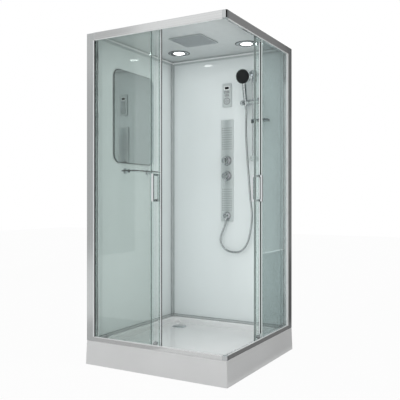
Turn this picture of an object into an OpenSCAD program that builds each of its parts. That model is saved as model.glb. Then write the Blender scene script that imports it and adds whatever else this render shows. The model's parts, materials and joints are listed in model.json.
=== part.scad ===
// Corner-entry shower cabin: tray, aluminium frame, glass walls, two sliding doors and a shower column.
// Origin on the floor under the middle of the cabin, X to the right, Y to the back wall, Z up.

/* [Cabin] */
// Side of the square cabin, outside to outside
cabin_side = 1000; // [950:10:1200]
// Height of the top of the frame above the floor
frame_h = 2100; // [2080:10:2200]
// Height of the ceiling above the top of the frame
ceiling_rise = 10; // [8:1:20]

/* [Tray] */
// Height of the tray's deck above the floor
tray_h = 150; // [145:5:200]
// Flare of the skirt at the floor, each side
tray_flare = 5; // [0:1:10]
// Thickness of the tray's shell
tray_wall = 6; // [4:1:8]
// Width of the deck round the basin
basin_rim = 75; // [70:5:110]
// Depth of the basin below the deck
basin_depth = 40; // [25:1:42]
// Radius of the basin's corners
basin_corner_r = 60; // [20:5:120]
// Distance of the waste from the left and back faces
waste_inset = 200; // [170:5:300]
// Radius of the waste hole in the basin
waste_hole_r = 45; // [40:1:48]
// Radius of the waste cover
cover_r = 53; // [50:1:58]
// Outer radius of the waste pipe
waste_pipe_r = 20; // [16:1:20]
// Height of the waste pipe's axis above the floor
waste_pipe_z = 48; // [45:1:50]

/* [Support] */
// Width of the steel channel under the tray
channel_w = 25; // [20:1:25]
// Half the side of the support frame
support_half = 390; // [380:5:400]
// Radius of a levelling foot's stud
stud_r = 6; // [5:0.5:7]
// Radius of a levelling foot's pad
pad_r = 25; // [20:1:30]

/* [Frame profiles] */
// Width of a wall post's face
post_w = 60; // [55:1:70]
// Depth of a wall post
post_d = 45; // [42:1:50]
// Side of the rear corner post
corner_post = 50; // [45:1:60]
// Height of the top rail's face
rail_h = 45; // [44:1:60]
// Depth of the top rail
rail_d = 62; // [60:1:70]
// Height of the bottom rail's face
sill_h = 25; // [22:1:30]
// Depth of the bottom rail
sill_d = 50; // [50:1:56]
// Wall thickness of the profiles
profile_t = 2; // [1.5:0.5:3]
// Depth of a rail from its face to the end of the closed part
rail_core = 22; // [21:0.5:22.5]
// Side of a joint block at the entry corner
joint_side = 30; // [26:1:32]
// Inner face of the walls, from the cabin's outside
wall_inset = 30; // [28:1:34]
// Height of the band under the ceiling
trim_h = 29; // [20:1:40]

/* [Glass] */
// Thickness of the fixed panes and the doors
glass_t = 5; // [4:1:6]
// Thickness of the wall panels
wall_t = 6; // [4:1:8]
// Middle of a fixed pane, from the cabin's outside
pane_in = 15; // [14:0.5:15]
// Middle of a door, from the cabin's outside
leaf_in = 40; // [40:0.5:42]
// Depth of a groove that holds glass
groove = 12; // [8:1:14]
// Free edge of a fixed pane, left of the cabin's middle
pane_edge = 13; // [13:1:30]

/* [Doors] */
// Leading edge of the open front door, right of the cabin's middle
open_tip = 50; // [50:1:70]
// Gap between an open door and its wall post
leaf_stop = 6; // [4:1:20]
// Width of the magnetic seal
seal_w = 26; // [22:1:30]
// Thickness of the magnetic seal
seal_t = 12; // [10:1:12]
// Tread radius of a wheel
wheel_r = 11.5; // [10:0.5:11.5]
// Width of a wheel
wheel_w = 8; // [6:1:8]
// Radius of a wheel's axle
axle_r = 3; // [2:0.5:4]
// Distance of the leading wheels behind the leading edge
lead_wheel = 45; // [40:1:60]
// Distance of the trailing wheels from the trailing edge
trail_wheel = 67; // [50:1:90]
// Height of the bottom rail's track above the tray
track_rise = 20; // [18:0.5:22]
// Distance of the handle's middle behind the leading edge
handle_in = 50; // [50:1:60]
// Height of the handle's lower end above the floor
handle_z = 1033; // [950:1:1100]
// Length of the handle
handle_len = 167; // [140:1:220]
// Width of the handle's bars
handle_w = 14; // [10:1:14]
// Depth of the handle's bars
handle_t = 10; // [8:1:10]
// Gap for the fingers between a bar and the glass
handle_gap = 24; // [20:1:24]

/* [Roof fittings] */
// Side of the rain shower
rain_side = 240; // [200:5:300]
// Thickness of the rain shower
rain_t = 8; // [6:1:12]
// Place of the rain shower along Y
rain_y = -5; // [-60:5:60]
// Sideways distance of a downlight from the middle
light_x = 270; // [230:5:300]
// Place of the downlights along Y
light_y = 247; // [200:1:300]
// Radius of a downlight's ring
light_ring_r = 75; // [65:1:80]
// Radius of a downlight's lens
light_lens_r = 47; // [40:1:50]
// Height of a fitting above the ceiling panel
fitting_h = 36; // [34:1:60]

/* [Left wall] */
// Middle of the mirror along Y
mirror_y = -33; // [-80:1:20]
// Width of the mirror
mirror_w = 468; // [400:2:500]
// Distance of the mirror's upper edge below the frame's top
mirror_drop = 170; // [150:1:190]
// Height of the mirror
mirror_h = 636; // [500:2:660]
// Radius of the mirror's corners
mirror_corner_r = 60; // [20:5:100]
// Middle of the shelf along Y
shelf_y = -13; // [-60:1:40]
// Width of the shelf
shelf_w = 337; // [280:1:360]
// Depth of the shelf
shelf_d = 116; // [90:1:125]
// Distance of the shelf's underside below the mirror
shelf_drop = 56; // [40:1:80]
// Thickness of the shelf
shelf_t = 8; // [6:1:10]

/* [Shower column] */
// Middle of the column, right of the cabin's middle
column_x = 12; // [0:1:20]
// Width of the column
column_w = 98; // [90:1:110]
// Thickness of the column
column_t = 10; // [9:0.5:14]
// Gap between the column and the control panel above it
column_drop = 96; // [80:1:110]
// Length of the column
column_len = 745; // [740:1:760]
// Distance of the diverter's axis below the column's upper end
diverter_drop = 300; // [290:1:310]
// Distance between the diverter's axis and the mixer's
knob_apart = 112; // [104:1:120]
// Radius of a knob
knob_r = 24; // [20:1:28]
// Length of a knob
knob_len = 38; // [30:1:45]
// Radius of a knob's rosette
rosette_r = 35; // [30:1:40]
// Thickness of a rosette
rosette_t = 8; // [4:1:10]
// Height of the hose outlet's axis above the column's lower end
outlet_up = 41; // [38:1:45]
// Radius of the hose outlet's cover
outlet_r = 28; // [24:1:32]
// Radius of the thread of a G1/2 inlet
inlet_r = 10.475; // [9.5:0.005:10.475]
// Distance of an inlet from the column's middle
inlet_apart = 26; // [24:1:30]
// Distance of the control panel's upper edge below the frame's top
panel_drop = 199; // [180:1:220]
// Width of the control panel
panel_w = 73; // [70:1:80]
// Height of the control panel
panel_h = 173; // [168:1:180]
// Thickness of the control panel
panel_t = 12; // [11:0.5:16]

/* [Shower set] */
// Place of the slide bar along X
bar_x = 238; // [236:1:240]
// Distance of the slide bar's axis from the wall
bar_out = 40; // [38:1:42]
// Radius of the slide bar
bar_r = 9.5; // [8:0.5:10]
// Distance of the upper bracket below the frame's top
bar_drop = 155; // [140:1:170]
// Distance between the brackets
bar_span = 607; // [580:1:620]
// Radius of a bracket
bracket_r = 20; // [16:1:22]
// Distance of the slider's axis below the upper bracket at rest
slider_drop = 205; // [185:1:225]
// Radius of the slider's barrel
barrel_r = 19; // [18:0.5:21]
// Distance of the hand shower's axis left of the bar
hand_out = 57; // [52:1:60]
// Forward lean of the hand shower
hand_lean = 12; // [8:1:15]
// Distance of the head's middle from the slider's axis
head_out = 185; // [170:1:200]
// Radius of the shower head
head_r = 54; // [45:1:60]
// Height of the soap dish's clip above the lower bracket
dish_up = 252; // [222:1:262]
// Radius of the hose
hose_r = 7.5; // [6:0.5:8]

/* [Hidden] */
$fn = 64;

// Seat between two pieces, and the running gap of a wheel over its track
seat = 0.3;
// Radial clearance of a pin or bar in its bore
running = 0.06;
half = cabin_side / 2;
wall_face = half - wall_inset;
wall_back = wall_face + wall_t;
ceiling_z = frame_h + ceiling_rise;
floor_z = tray_h - basin_depth;
floor_under = floor_z - tray_wall;
waste_x = waste_inset - half;
waste_y = half - waste_inset;
pane_slot = glass_t + 2 * seat;

// Heights of the fittings on the walls
mirror_z = frame_h - mirror_drop - mirror_h;
shelf_z = mirror_z - shelf_drop;
panel_top = frame_h - panel_drop;
panel_z = panel_top - panel_h;
column_top = panel_z - column_drop;
column_z = column_top - column_len;
diverter_z = column_top - diverter_drop;
mixer_z = diverter_z - knob_apart;
outlet_z = column_z + outlet_up;
bar_top = frame_h - bar_drop;
bar_z = bar_top - bar_span;
slider_z = bar_top - slider_drop;
dish_z = bar_z + dish_up;

// Doors: places along u, the depth from the cabin's outside
leaf_out = leaf_in - glass_t / 2;
leaf_back = leaf_in + glass_t / 2;
wheel_u = rail_core + seat + 1.7;
track_u = wheel_u + wheel_w / 2;
track_w = 3;
flange_r = wheel_r + 2;
axle_cap = 1;
axle_nut_r = 9;
axle_nut_t = 7.5;
track_top_z = frame_h - rail_h + 11;
track_low_z = tray_h + track_rise;
axle_top_z = track_top_z + seat + wheel_r;
axle_low_z = track_low_z + seat + wheel_r;
leaf_tail = post_w + leaf_stop - half;
leaf_z = tray_h + 10;
leaf_top = axle_top_z + 14;
lead_x = open_tip - lead_wheel;
trail_x = leaf_tail + trail_wheel;
pane_z = tray_h + sill_h - 15;
pane_top = frame_h - 15;

// Column and shower set: depths and heights
column_face = wall_face - column_t;
panel_face = wall_face - panel_t;
rosette_face = column_face - rosette_t;
pipe_y = half - 12;
pipe_r = 7;
jet_pitch = 17;
jet_rows = 10;
jet_r = 2.2;
bar_y = wall_face - bar_out;
barrel_y = bar_y - 6;
hand_x = bar_x - hand_out;
barrel_left = bar_x - 101;
barrel_right = bar_x + 65;
barrel_split = bar_x - 24;
cone_low_r = 11.4;
cone_top_r = 12.9;
cone_half = 24;
face_y = -11.7;

// Ends of the hose
nipple_r = 9;
nipple_len = 31;
nipple_y = wall_face - 26;
feed_r = 6;
hand_tail = 45;
hose_gap = 0.05;
hose_reach = hand_tail + hose_gap;
hose_start = [column_x, nipple_y, outlet_z - nipple_len];
hose_end = [hand_x, barrel_y + hose_reach * sin(hand_lean), slider_z - hose_reach * cos(hand_lean)];

// Route of the hose, from the nipple's end down, across and up to the hand shower
hose_route = [
    [0, 0, 0], [-2, 0, -22], [-10, -1, -47], [-24, -2, -80], [-38, -4, -119], [-42, -6, -147],
    [-34, -8, -175], [-12, -10, -205], [28, -12, -227], [81, -14, -233], [123, -15, -225], [156, -16, -199],
    [187, -16, -147], [210, -17, -53], [217, -18, 47], [205, -19, 160], [195, -19, 288], [183, -19, 431],
    [173, -17, 573], [169, -14, 693], [169, -8, 777]
];
hose_points = [for (p = hose_route) hose_start + p, hose_end];

// Box between two corners
module block(from, to) {
    translate(from) cube(to - from);
}

// Rectangle between two corners
module area(from, to) {
    translate(from) square(to - from);
}

// Rectangle about the origin with round corners
module round_area(w, h, r) {
    square([w, h - 2 * r], center = true);
    square([w - 2 * r, h], center = true);
    for (x = [-1, 1], y = [-1, 1])
        translate([x * (w / 2 - r), y * (h / 2 - r)]) circle(r);
}

// Copies what belongs to the front onto the right side, across the entry corner
module across_corner() {
    mirror([1, 1, 0]) children();
}

// Straight profile along X from x0 to x1, drawn in depth and height
module along_front(x0, x1) {
    translate([x0, -half, 0]) rotate([90, 0, 90]) linear_extrude(x1 - x0) children();
}

// Cylinder along X or Y, from one place to the other
module rod_x(r, x0, x1, y, z) {
    translate([x0, y, z]) rotate([0, 90, 0]) cylinder(r = r, h = x1 - x0);
}

module rod_y(r, x, y0, y1, z) {
    translate([x, y1, z]) rotate([90, 0, 0]) cylinder(r = r, h = y1 - y0);
}

// Upright slab on the back wall with round corners
module wall_slab(x, z, w, h, r, y0, y1) {
    translate([x, y1, z]) rotate([90, 0, 0]) linear_extrude(y1 - y0) round_area(w, h, r);
}

// Outside of the tray drawn in by an inset
module tray_block(inset, top) {
    intersection() {
        rotate([90, 0, 0]) linear_extrude(2 * cabin_side, center = true) tray_side(inset, top);
        rotate([90, 0, 90]) linear_extrude(2 * cabin_side, center = true) tray_side(inset, top);
    }
}

module tray_side(inset, top) {
    foot = half + tray_flare - inset;
    edge = half - inset;
    lean = (foot - edge) / tray_h;
    polygon([[-foot - lean, -1], [foot + lean, -1], [foot - lean * top, top], [-foot + lean * top, top]]);
}

module basin_shape(grow) {
    side = 2 * (half - basin_rim + grow);
    linear_extrude(tray_h) round_area(side, side, basin_corner_r + grow);
}

module tray() {
    color([0.92, 0.93, 0.93]) difference() {
        intersection() {
            tray_block(0, tray_h);
            block([-cabin_side, -cabin_side, 0], [cabin_side, cabin_side, tray_h]);
        }
        translate([0, 0, floor_z]) basin_shape(0);
        difference() {
            tray_block(tray_wall, tray_h - tray_wall);
            translate([0, 0, floor_under]) basin_shape(tray_wall);
        }
        translate([waste_x, waste_y, 0]) cylinder(r = waste_hole_r, h = tray_h);
        // Way out for the waste pipe through the back skirt
        block([waste_x - 35, half - tray_wall - 5, -1], [waste_x + 35, half + tray_flare + 1, 90]);
    }
}

// Foot places: the four corners of the support frame and its middle
foot_places = [[0, 0], [-1, -1], [1, -1], [-1, 1], [1, 1]] * (support_half - channel_w / 2);
channel_z = floor_under - channel_w;

module channel(from, to, inset, drop) {
    block(
        [min(from.x, to.x) - channel_w / 2 + inset, min(from.y, to.y) - channel_w / 2 + inset, channel_z - drop],
        [max(from.x, to.x) + channel_w / 2 - inset, max(from.y, to.y) + channel_w / 2 - inset, floor_under - inset]
    );
}

module channel_grid(inset, drop) {
    s = support_half - channel_w / 2;
    for (k = [-1, 0, 1]) {
        channel([-s, k * s], [s, k * s], inset, drop);
        channel([k * s, -s], [k * s, s], inset, drop);
    }
}

module support_frame() {
    color([0.6, 0.61, 0.62]) difference() {
        union() {
            difference() {
                channel_grid(0, 0);
                channel_grid(profile_t, 1);
            }
            for (p = foot_places)
                block([p.x - channel_w / 2, p.y - channel_w / 2, channel_z],
                      [p.x + channel_w / 2, p.y + channel_w / 2, floor_under]);
        }
        for (p = foot_places)
            translate([p.x, p.y, channel_z - 1]) cylinder(r = stud_r + 0.2, h = channel_w - profile_t);
    }
}

module levelling_feet() {
    color([0.3, 0.3, 0.32]) for (p = foot_places)
        translate([p.x, p.y, 0]) {
            cylinder(r = pad_r, h = 8);
            translate([0, 0, 8]) cylinder(r1 = pad_r - 6, r2 = stud_r + 3, h = 6);
            translate([0, 0, 10]) cylinder(r = stud_r, h = channel_z + 5);
            translate([0, 0, channel_z - 8]) cylinder(r = stud_r + 5, h = 8, $fn = 6);
        }
}

trap_r = 50;
trap_flange_r = 60;
trap_low = 24;
trap_wall = 3;
pipe_end = 10;

module waste_trap() {
    color([0.35, 0.36, 0.38]) translate([waste_x, waste_y, 0]) difference() {
        union() {
            translate([0, 0, trap_low]) cylinder(r = trap_r, h = floor_under - trap_low);
            translate([0, 0, floor_under - 6]) cylinder(r = trap_flange_r, h = 6);
            rod_y(waste_pipe_r, 0, 0, waste_inset - pipe_end, waste_pipe_z);
            rod_y(waste_pipe_r + 4, 0, 0, trap_flange_r, waste_pipe_z);
        }
        translate([0, 0, trap_low + trap_wall]) cylinder(r = waste_hole_r - 1, h = floor_under);
        rod_y(waste_pipe_r - 2.5, 0, 0, waste_inset - pipe_end + 1, waste_pipe_z);
    }
}

cover_tube = 45;

module waste_cover() {
    color([0.8, 0.8, 0.82]) translate([waste_x, waste_y, floor_z + seat]) {
        cylinder(r = cover_r, h = 2.5);
        translate([0, 0, 2.5]) cylinder(r1 = cover_r - 1, r2 = cover_r - 9, h = 4);
        translate([0, 0, -cover_tube]) cylinder(r = 6, h = cover_tube + 1);
        translate([0, 0, -cover_tube]) cylinder(r = waste_hole_r - 12, h = 6);
    }
}

// Post at the left end of the front, the same across the corner
module wall_post() {
    color([0.72, 0.72, 0.73]) difference() {
        block([-half, -half, tray_h], [-half + post_w, -half + post_d, frame_h]);
        block(
            [-half + profile_t, -half + profile_t, tray_h - 1],
            [-half + post_w - groove - profile_t, -half + post_d - groove - profile_t, frame_h + 1]
        );
        block(
            [-half + post_w - groove, -half + pane_in - pane_slot / 2, tray_h - 1],
            [-half + post_w + 1, -half + pane_in + pane_slot / 2, frame_h + 1]
        );
        block(
            [-wall_back - seat, -half + post_d - groove, tray_h - 1],
            [-wall_face + seat, -half + post_d + 1, frame_h + 1]
        );
    }
}

module wall_posts() {
    wall_post();
    across_corner() wall_post();
}

module rear_corner_post() {
    edge = half - corner_post;
    color([0.6, 0.6, 0.61]) difference() {
        translate([0, 0, tray_h]) linear_extrude(ceiling_z - tray_h)
            polygon([[-half, half], [-half, edge], [-edge - 8, edge], [-edge, edge + 8], [-edge, half]]);
        for (side = [0, 1]) mirror([side, side, 0])
            block([-wall_back - seat, edge - 1, tray_h - 1], [-wall_face + seat, edge + groove - 4, ceiling_z + 1]);
    }
}

// Top rail in depth and height: closed core, groove for the pane, track for the wheels and cover plate
module top_rail_section() {
    low = frame_h - rail_h;
    difference() {
        area([0, low], [rail_core, frame_h]);
        area([pane_in - pane_slot / 2, low - 1], [pane_in + pane_slot / 2, pane_top + seat]);
        area([profile_t, low + profile_t], [pane_in - pane_slot / 2 - 1.2, frame_h - profile_t]);
    }
    area([rail_core, frame_h - profile_t], [rail_d, frame_h]);
    area([rail_d - profile_t, frame_h - 15], [rail_d, frame_h]);
    area([rail_core, track_top_z - 9], [track_u + track_w / 2, track_top_z - 6]);
    area([track_u - track_w / 2, track_top_z - 9], [track_u + track_w / 2, track_top_z]);
}

// Bottom rail: sill with the groove for the pane and the lower track
module sill_section() {
    difference() {
        area([0, tray_h], [rail_core, tray_h + sill_h]);
        area([pane_in - pane_slot / 2, pane_z - seat], [pane_in + pane_slot / 2, tray_h + sill_h + 1]);
        area([profile_t, tray_h + profile_t], [pane_in - pane_slot / 2 - 1.2, tray_h + sill_h - profile_t]);
    }
    area([rail_core, tray_h], [sill_d, tray_h + 3]);
    area([track_u - track_w / 2, tray_h], [track_u + track_w / 2, track_low_z]);
}

// Rail from the post to the mitre at the entry corner, less the joint block's place
module rail_run() {
    difference() {
        along_front(-half + post_w, half) children();
        rotate([0, 0, 45]) block([0, -2 * cabin_side, 0], [cabin_side, 2 * cabin_side, frame_h + 1]);
        block([half - joint_side, -half - 1, 0], [half + 1, -half + joint_side, frame_h + 1]);
    }
}

module front_top_rail() {
    color([0.83, 0.83, 0.84]) rail_run() top_rail_section();
}

module side_top_rail() {
    across_corner() front_top_rail();
}

module bottom_rails() {
    color([0.7, 0.7, 0.71]) rail_run() sill_section();
    across_corner() color([0.7, 0.7, 0.71]) rail_run() sill_section();
}

module corner_joints() {
    color([0.86, 0.86, 0.87]) {
        block([half - joint_side, -half, frame_h - rail_h], [half, -half + joint_side, frame_h]);
        block([half - joint_side, -half, tray_h], [half, -half + joint_side, tray_h + sill_h]);
    }
}

// Panel on the left, from the post's groove to the rear corner post's groove
module wall_panel() {
    block(
        [-wall_back, -half + post_d - groove + 4, tray_h + profile_t + seat],
        [-wall_face, half - corner_post + groove - 4 - seat, frame_h - seat]
    );
}

module left_wall_panel() {
    color([0.8, 0.84, 0.84]) wall_panel();
}

neck_r = 17;

module back_wall_panel() {
    color([0.78, 0.82, 0.82]) difference() {
        across_corner() wall_panel();
        for (z = [diverter_z, mixer_z]) rod_y(neck_r + 1, column_x, wall_face - 1, wall_back + 1, z);
        rod_y(9, column_x, wall_face - 1, wall_back + 1, outlet_z);
        rod_y(6, column_x, wall_face - 1, wall_back + 1, panel_z + panel_h / 2);
    }
}

// Profiles that take the top and the bottom of the left panel
module wall_trim() {
    y0 = -half + post_d;
    y1 = half - corner_post;
    block([-half, y0, frame_h - 30], [-wall_back - seat, y1, ceiling_z]);
    block([-half, y0, frame_h], [-wall_face + 6, y1, ceiling_z]);
    block([-wall_face + seat, y0, ceiling_z - trim_h], [-wall_face + 6, y1, ceiling_z]);
    block([-half, y0, tray_h], [-wall_back - seat, y1, tray_h + 30]);
    block([-half, y0, tray_h], [-wall_face + 6, y1, tray_h + profile_t]);
    block([-wall_face + seat, y0, tray_h], [-wall_face + 6, y1, tray_h + 15]);
}

module wall_trims() {
    color([0.66, 0.66, 0.67]) {
        wall_trim();
        difference() {
            across_corner() wall_trim();
            translate([column_x, pipe_y, frame_h - 40]) cylinder(r = pipe_r + 1, h = 80);
        }
    }
}

module fixed_pane() {
    color([0.75, 0.85, 0.83, 0.4]) block(
        [-half + post_w - groove + seat, -half + pane_in - glass_t / 2, pane_z],
        [-pane_edge, -half + pane_in + glass_t / 2, pane_top]
    );
}

module fixed_panes() {
    fixed_pane();
    across_corner() fixed_pane();
}

// Clear strip on a fixed pane's free edge, with a lip towards the door between the wheels
module fixed_pane_seal() {
    mid = -half + pane_in;
    back = -half + rail_core - 2;
    color([0.85, 0.9, 0.9, 0.5]) difference() {
        union() {
            block([-pane_edge - 10, mid - 3.6, tray_h + sill_h], [-pane_edge + 1.5, back, frame_h - rail_h]);
            block(
                [-pane_edge, back - 1, axle_low_z + flange_r + 5],
                [-pane_edge + 1.5, -half + leaf_out - 0.5, axle_top_z - flange_r - 25]
            );
        }
        block(
            [-pane_edge - 11, mid - glass_t / 2 - 0.1, tray_h],
            [-pane_edge, mid + glass_t / 2 + 0.1, frame_h]
        );
    }
}

module fixed_pane_seals() {
    fixed_pane_seal();
    across_corner() fixed_pane_seal();
}

axle_places = [[lead_x, axle_top_z], [trail_x, axle_top_z], [lead_x, axle_low_z], [trail_x, axle_low_z]];
handle_x = open_tip - handle_in;
handle_ends = [handle_z, handle_z + handle_len - handle_w];
handle_stud_r = 4;

module door_glass() {
    color([0.7, 0.82, 0.8, 0.4]) difference() {
        block([leaf_tail, -half + leaf_out, leaf_z], [open_tip - seal_w + 6, -half + leaf_back, leaf_top]);
        for (p = axle_places) rod_y(axle_r + seat, p.x, -half + leaf_out - 1, -half + leaf_back + 1, p.y);
        for (z = handle_ends)
            rod_y(handle_stud_r + 1, handle_x, -half + leaf_out - 1, -half + leaf_back + 1, z + handle_w / 2);
    }
}

// Seal with a 45 degree face, so that the two doors meet at the corner
module door_seal() {
    u0 = leaf_in - seal_t / 2;
    u1 = leaf_in + seal_t / 2;
    color([0.85, 0.88, 0.88, 0.6]) translate([0, 0, leaf_z]) linear_extrude(leaf_top - leaf_z - 25)
        translate([0, -half]) difference() {
            polygon([[open_tip - seal_w, u0], [open_tip, u0], [open_tip - seal_t, u1], [open_tip - seal_w, u1]]);
            area([open_tip - seal_w - 1, leaf_out - 0.1], [open_tip - seal_w + 6, leaf_back + 0.1]);
        }
}

module door_handle() {
    x0 = handle_x - handle_w / 2;
    x1 = handle_x + handle_w / 2;
    out0 = -half + leaf_out - handle_gap - handle_t;
    in1 = -half + leaf_back + handle_gap + handle_t;
    color([0.8, 0.8, 0.82]) {
        block([x0, out0, handle_z], [x1, out0 + handle_t, handle_z + handle_len]);
        block([x0, in1 - handle_t, handle_z], [x1, in1, handle_z + handle_len]);
        for (z = handle_ends) {
            block([x0, out0, z], [x1, -half + leaf_out, z + handle_w]);
            block([x0, -half + leaf_back, z], [x1, in1, z + handle_w]);
            rod_y(handle_stud_r, handle_x, out0 + 2, in1 - 2, z + handle_w / 2);
        }
    }
}

// Axle through the glass: cap, pin, collar and inner nut
module door_axles() {
    cap_u = wheel_u - seat - axle_cap;
    color([0.75, 0.75, 0.77]) for (p = axle_places) {
        rod_y(axle_r + 2, p.x, -half + cap_u, -half + cap_u + axle_cap, p.y);
        rod_y(axle_r, p.x, -half + cap_u, -half + leaf_back + 1, p.y);
        rod_y(axle_r + 3, p.x, -half + wheel_u + wheel_w + seat, -half + leaf_out, p.y);
        rod_y(axle_nut_r, p.x, -half + leaf_back, -half + leaf_back + axle_nut_t, p.y);
    }
}

// Grooved wheel: a flange each side of the track
module door_wheel(place) {
    color([0.62, 0.64, 0.65]) translate([place.x, -half + wheel_u + wheel_w, place.y]) rotate([90, 0, 0])
        difference() {
            union() {
                cylinder(r = wheel_r, h = wheel_w);
                for (z = [0, wheel_w - 1.5]) translate([0, 0, z]) cylinder(r = flange_r, h = 1.5);
            }
            translate([0, 0, -1]) cylinder(r = axle_r + running, h = wheel_w + 2);
        }
}

rain_boss_r = 14;
roof_edge = half - 22;
roof_front = half - 37;
roof_t = 4;

module roof_panel() {
    color([0.88, 0.89, 0.89]) difference() {
        union() {
            block([-roof_edge, -roof_front, ceiling_z], [roof_front, roof_edge, ceiling_z + roof_t]);
            block([-roof_edge, -roof_front, frame_h], [roof_front, -roof_front + roof_t, ceiling_z + 1]);
            block([roof_front - roof_t, -roof_front, frame_h], [roof_front, roof_edge, ceiling_z + 1]);
            block([-roof_edge, -roof_front - 17, frame_h], [roof_front + 17, -roof_front + roof_t, frame_h + 3]);
            block([roof_front - roof_t, -roof_front - 17, frame_h], [roof_front + 17, roof_edge, frame_h + 3]);
        }
        translate([0, rain_y, ceiling_z - 1]) cylinder(r = rain_boss_r + 1, h = 10);
        for (x = [-light_x, light_x])
            translate([x, light_y, ceiling_z - 1]) cylinder(r = light_lens_r + 3.5, h = 10);
    }
}

module rain_shower() {
    color([0.62, 0.64, 0.65]) difference() {
        union() {
            translate([0, rain_y, ceiling_z - rain_t]) linear_extrude(rain_t)
                square(rain_side, center = true);
            translate([0, rain_y, ceiling_z - 1]) cylinder(r = rain_boss_r, h = fitting_h + roof_t + 1);
        }
        rod_y(pipe_r + seat, 0, rain_y, rain_y + 20, pipe_top_z);
    }
}

pipe_top_z = ceiling_z + roof_t + 18;
bend_r = 25;

// Pipe from the valve up behind the wall and over the roof to the rain shower
module rain_pipe() {
    color([0.85, 0.85, 0.83]) {
        translate([column_x, pipe_y, diverter_z + 30]) cylinder(r = pipe_r, h = pipe_top_z - bend_r - diverter_z - 30);
        translate([column_x, pipe_y - bend_r, pipe_top_z - bend_r]) rotate([90, 0, 90])
            rotate_extrude(angle = 90) translate([bend_r, 0]) circle(pipe_r);
        rod_y(pipe_r, column_x, rain_y + 24, pipe_y - bend_r, pipe_top_z);
        rod_x(pipe_r, 0, column_x, rain_y + 24, pipe_top_z);
        rod_y(pipe_r, 0, rain_y + 4, rain_y + 24, pipe_top_z);
        for (x = [0, column_x]) translate([x, rain_y + 24, pipe_top_z]) sphere(pipe_r);
    }
}

module downlight_housings() {
    color([0.82, 0.82, 0.84]) for (x = [-light_x, light_x])
        translate([x, light_y, ceiling_z]) difference() {
            union() {
                translate([0, 0, -4]) cylinder(r1 = light_ring_r - 3, r2 = light_ring_r, h = 4);
                translate([0, 0, -1]) cylinder(r = light_lens_r + 2.5, h = fitting_h + roof_t);
            }
            translate([0, 0, -5]) cylinder(r = light_lens_r + seat, h = 6);
            cylinder(r = light_lens_r - 2, h = fitting_h);
        }
}

module downlight_lenses() {
    color([1, 1, 1]) for (x = [-light_x, light_x])
        translate([x, light_y, ceiling_z - 2.5]) cylinder(r = light_lens_r, h = 3.3);
}

// Slab on the left wall with round corners, from x0 to x1
module left_slab(y, z, w, h, r, x0, x1) {
    translate([x0, y, z]) rotate([90, 0, 90]) linear_extrude(x1 - x0) round_area(w, h, r);
}

module wall_mirror() {
    mid = mirror_z + mirror_h / 2;
    color([0.7, 0.74, 0.75]) {
        left_slab(mirror_y, mid, mirror_w, mirror_h, mirror_corner_r, -wall_face + 6, -wall_face + 11);
        left_slab(mirror_y, mid, mirror_w - 60, mirror_h - 60, 40, -wall_face, -wall_face + 6);
    }
}

shelf_x0 = -wall_face + 6;
holder_places = [shelf_y - shelf_w * 0.36, shelf_y + shelf_w * 0.425];

module glass_shelf() {
    r = 20;
    x1 = shelf_x0 + shelf_d - 6;
    color([0.7, 0.85, 0.82, 0.5]) translate([0, 0, shelf_z]) linear_extrude(shelf_t) {
        area([shelf_x0, shelf_y - shelf_w / 2], [x1 - r, shelf_y + shelf_w / 2]);
        area([shelf_x0, shelf_y - shelf_w / 2 + r], [x1, shelf_y + shelf_w / 2 - r]);
        for (s = [-1, 1]) translate([x1 - r, shelf_y + s * (shelf_w / 2 - r)]) circle(r);
    }
}

holder_plate_r = 20;
holder_r = 13;
holder_reach = 36;

// Wall holders that grip the shelf from above and below
module shelf_holders() {
    mid = shelf_z + shelf_t / 2;
    color([0.78, 0.78, 0.8]) for (y = holder_places) difference() {
        union() {
            rod_x(holder_plate_r, -wall_face, -wall_face + 5, y, mid);
            rod_x(holder_r, -wall_face, -wall_face + holder_reach, y, mid);
        }
        block(
            [shelf_x0 - seat, y - 2 * holder_r, shelf_z],
            [holder_reach + 1 - wall_face, y + 2 * holder_r, shelf_z + shelf_t]
        );
    }
}

display_w = 34;
display_h = 19;
display_z = panel_top - 35;
small_button_z = panel_top - 65;
wide_button_z = panel_top - 89;
pad_z = panel_top - 131;
button_x = 11;
button_r = 6;
wide_w = 26;
wide_h = 9;
nav_r = 22;
button_depth = 5;
button_proud = 1.6;

module control_panel() {
    color([0.76, 0.77, 0.78]) difference() {
        wall_slab(column_x, panel_z + panel_h / 2, panel_w, panel_h, 8, panel_face, wall_face);
        wall_slab(column_x, display_z, display_w, display_h, 2, panel_face - 1, panel_face + 2);
        for (x = [-button_x, button_x])
            rod_y(button_r + seat, column_x + x, panel_face - 1, panel_face + button_depth + 1.5, small_button_z);
        wall_slab(
            column_x, wide_button_z, wide_w + 2 * seat, wide_h + 2 * seat, wide_h / 2,
            panel_face - 1, panel_face + button_depth + 1.5
        );
        rod_y(nav_r + seat, column_x, panel_face - 1, panel_face + button_depth + 1.5, pad_z);
    }
}

module display_window() {
    color([0.08, 0.09, 0.1])
        wall_slab(column_x, display_z, display_w - 0.4, display_h - 0.4, 1.8, panel_face - 0.2, panel_face + 2);
}

module small_button(x) {
    color([0.7, 0.71, 0.72])
        rod_y(button_r, column_x + x, panel_face - button_proud, panel_face + button_depth, small_button_z);
}

module button_left() {
    small_button(-button_x);
}

module button_right() {
    small_button(button_x);
}

module button_wide() {
    color([0.7, 0.71, 0.72]) wall_slab(
        column_x, wide_button_z, wide_w, wide_h, wide_h / 2 - seat, panel_face - button_proud, panel_face + button_depth
    );
}

module nav_pad() {
    color([0.7, 0.71, 0.72]) rod_y(nav_r, column_x, panel_face - button_proud, panel_face + button_depth, pad_z);
}

// Rows of jets: five columns about the column's middle
jet_columns = 5;
jet_rise = (jet_rows - 1) * jet_pitch;
jet_low_edge = 82;
jet_top_edge = 60;
jet_fields = [column_z + jet_low_edge, column_top - jet_top_edge - jet_rise];
mat_edge = 14;

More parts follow.
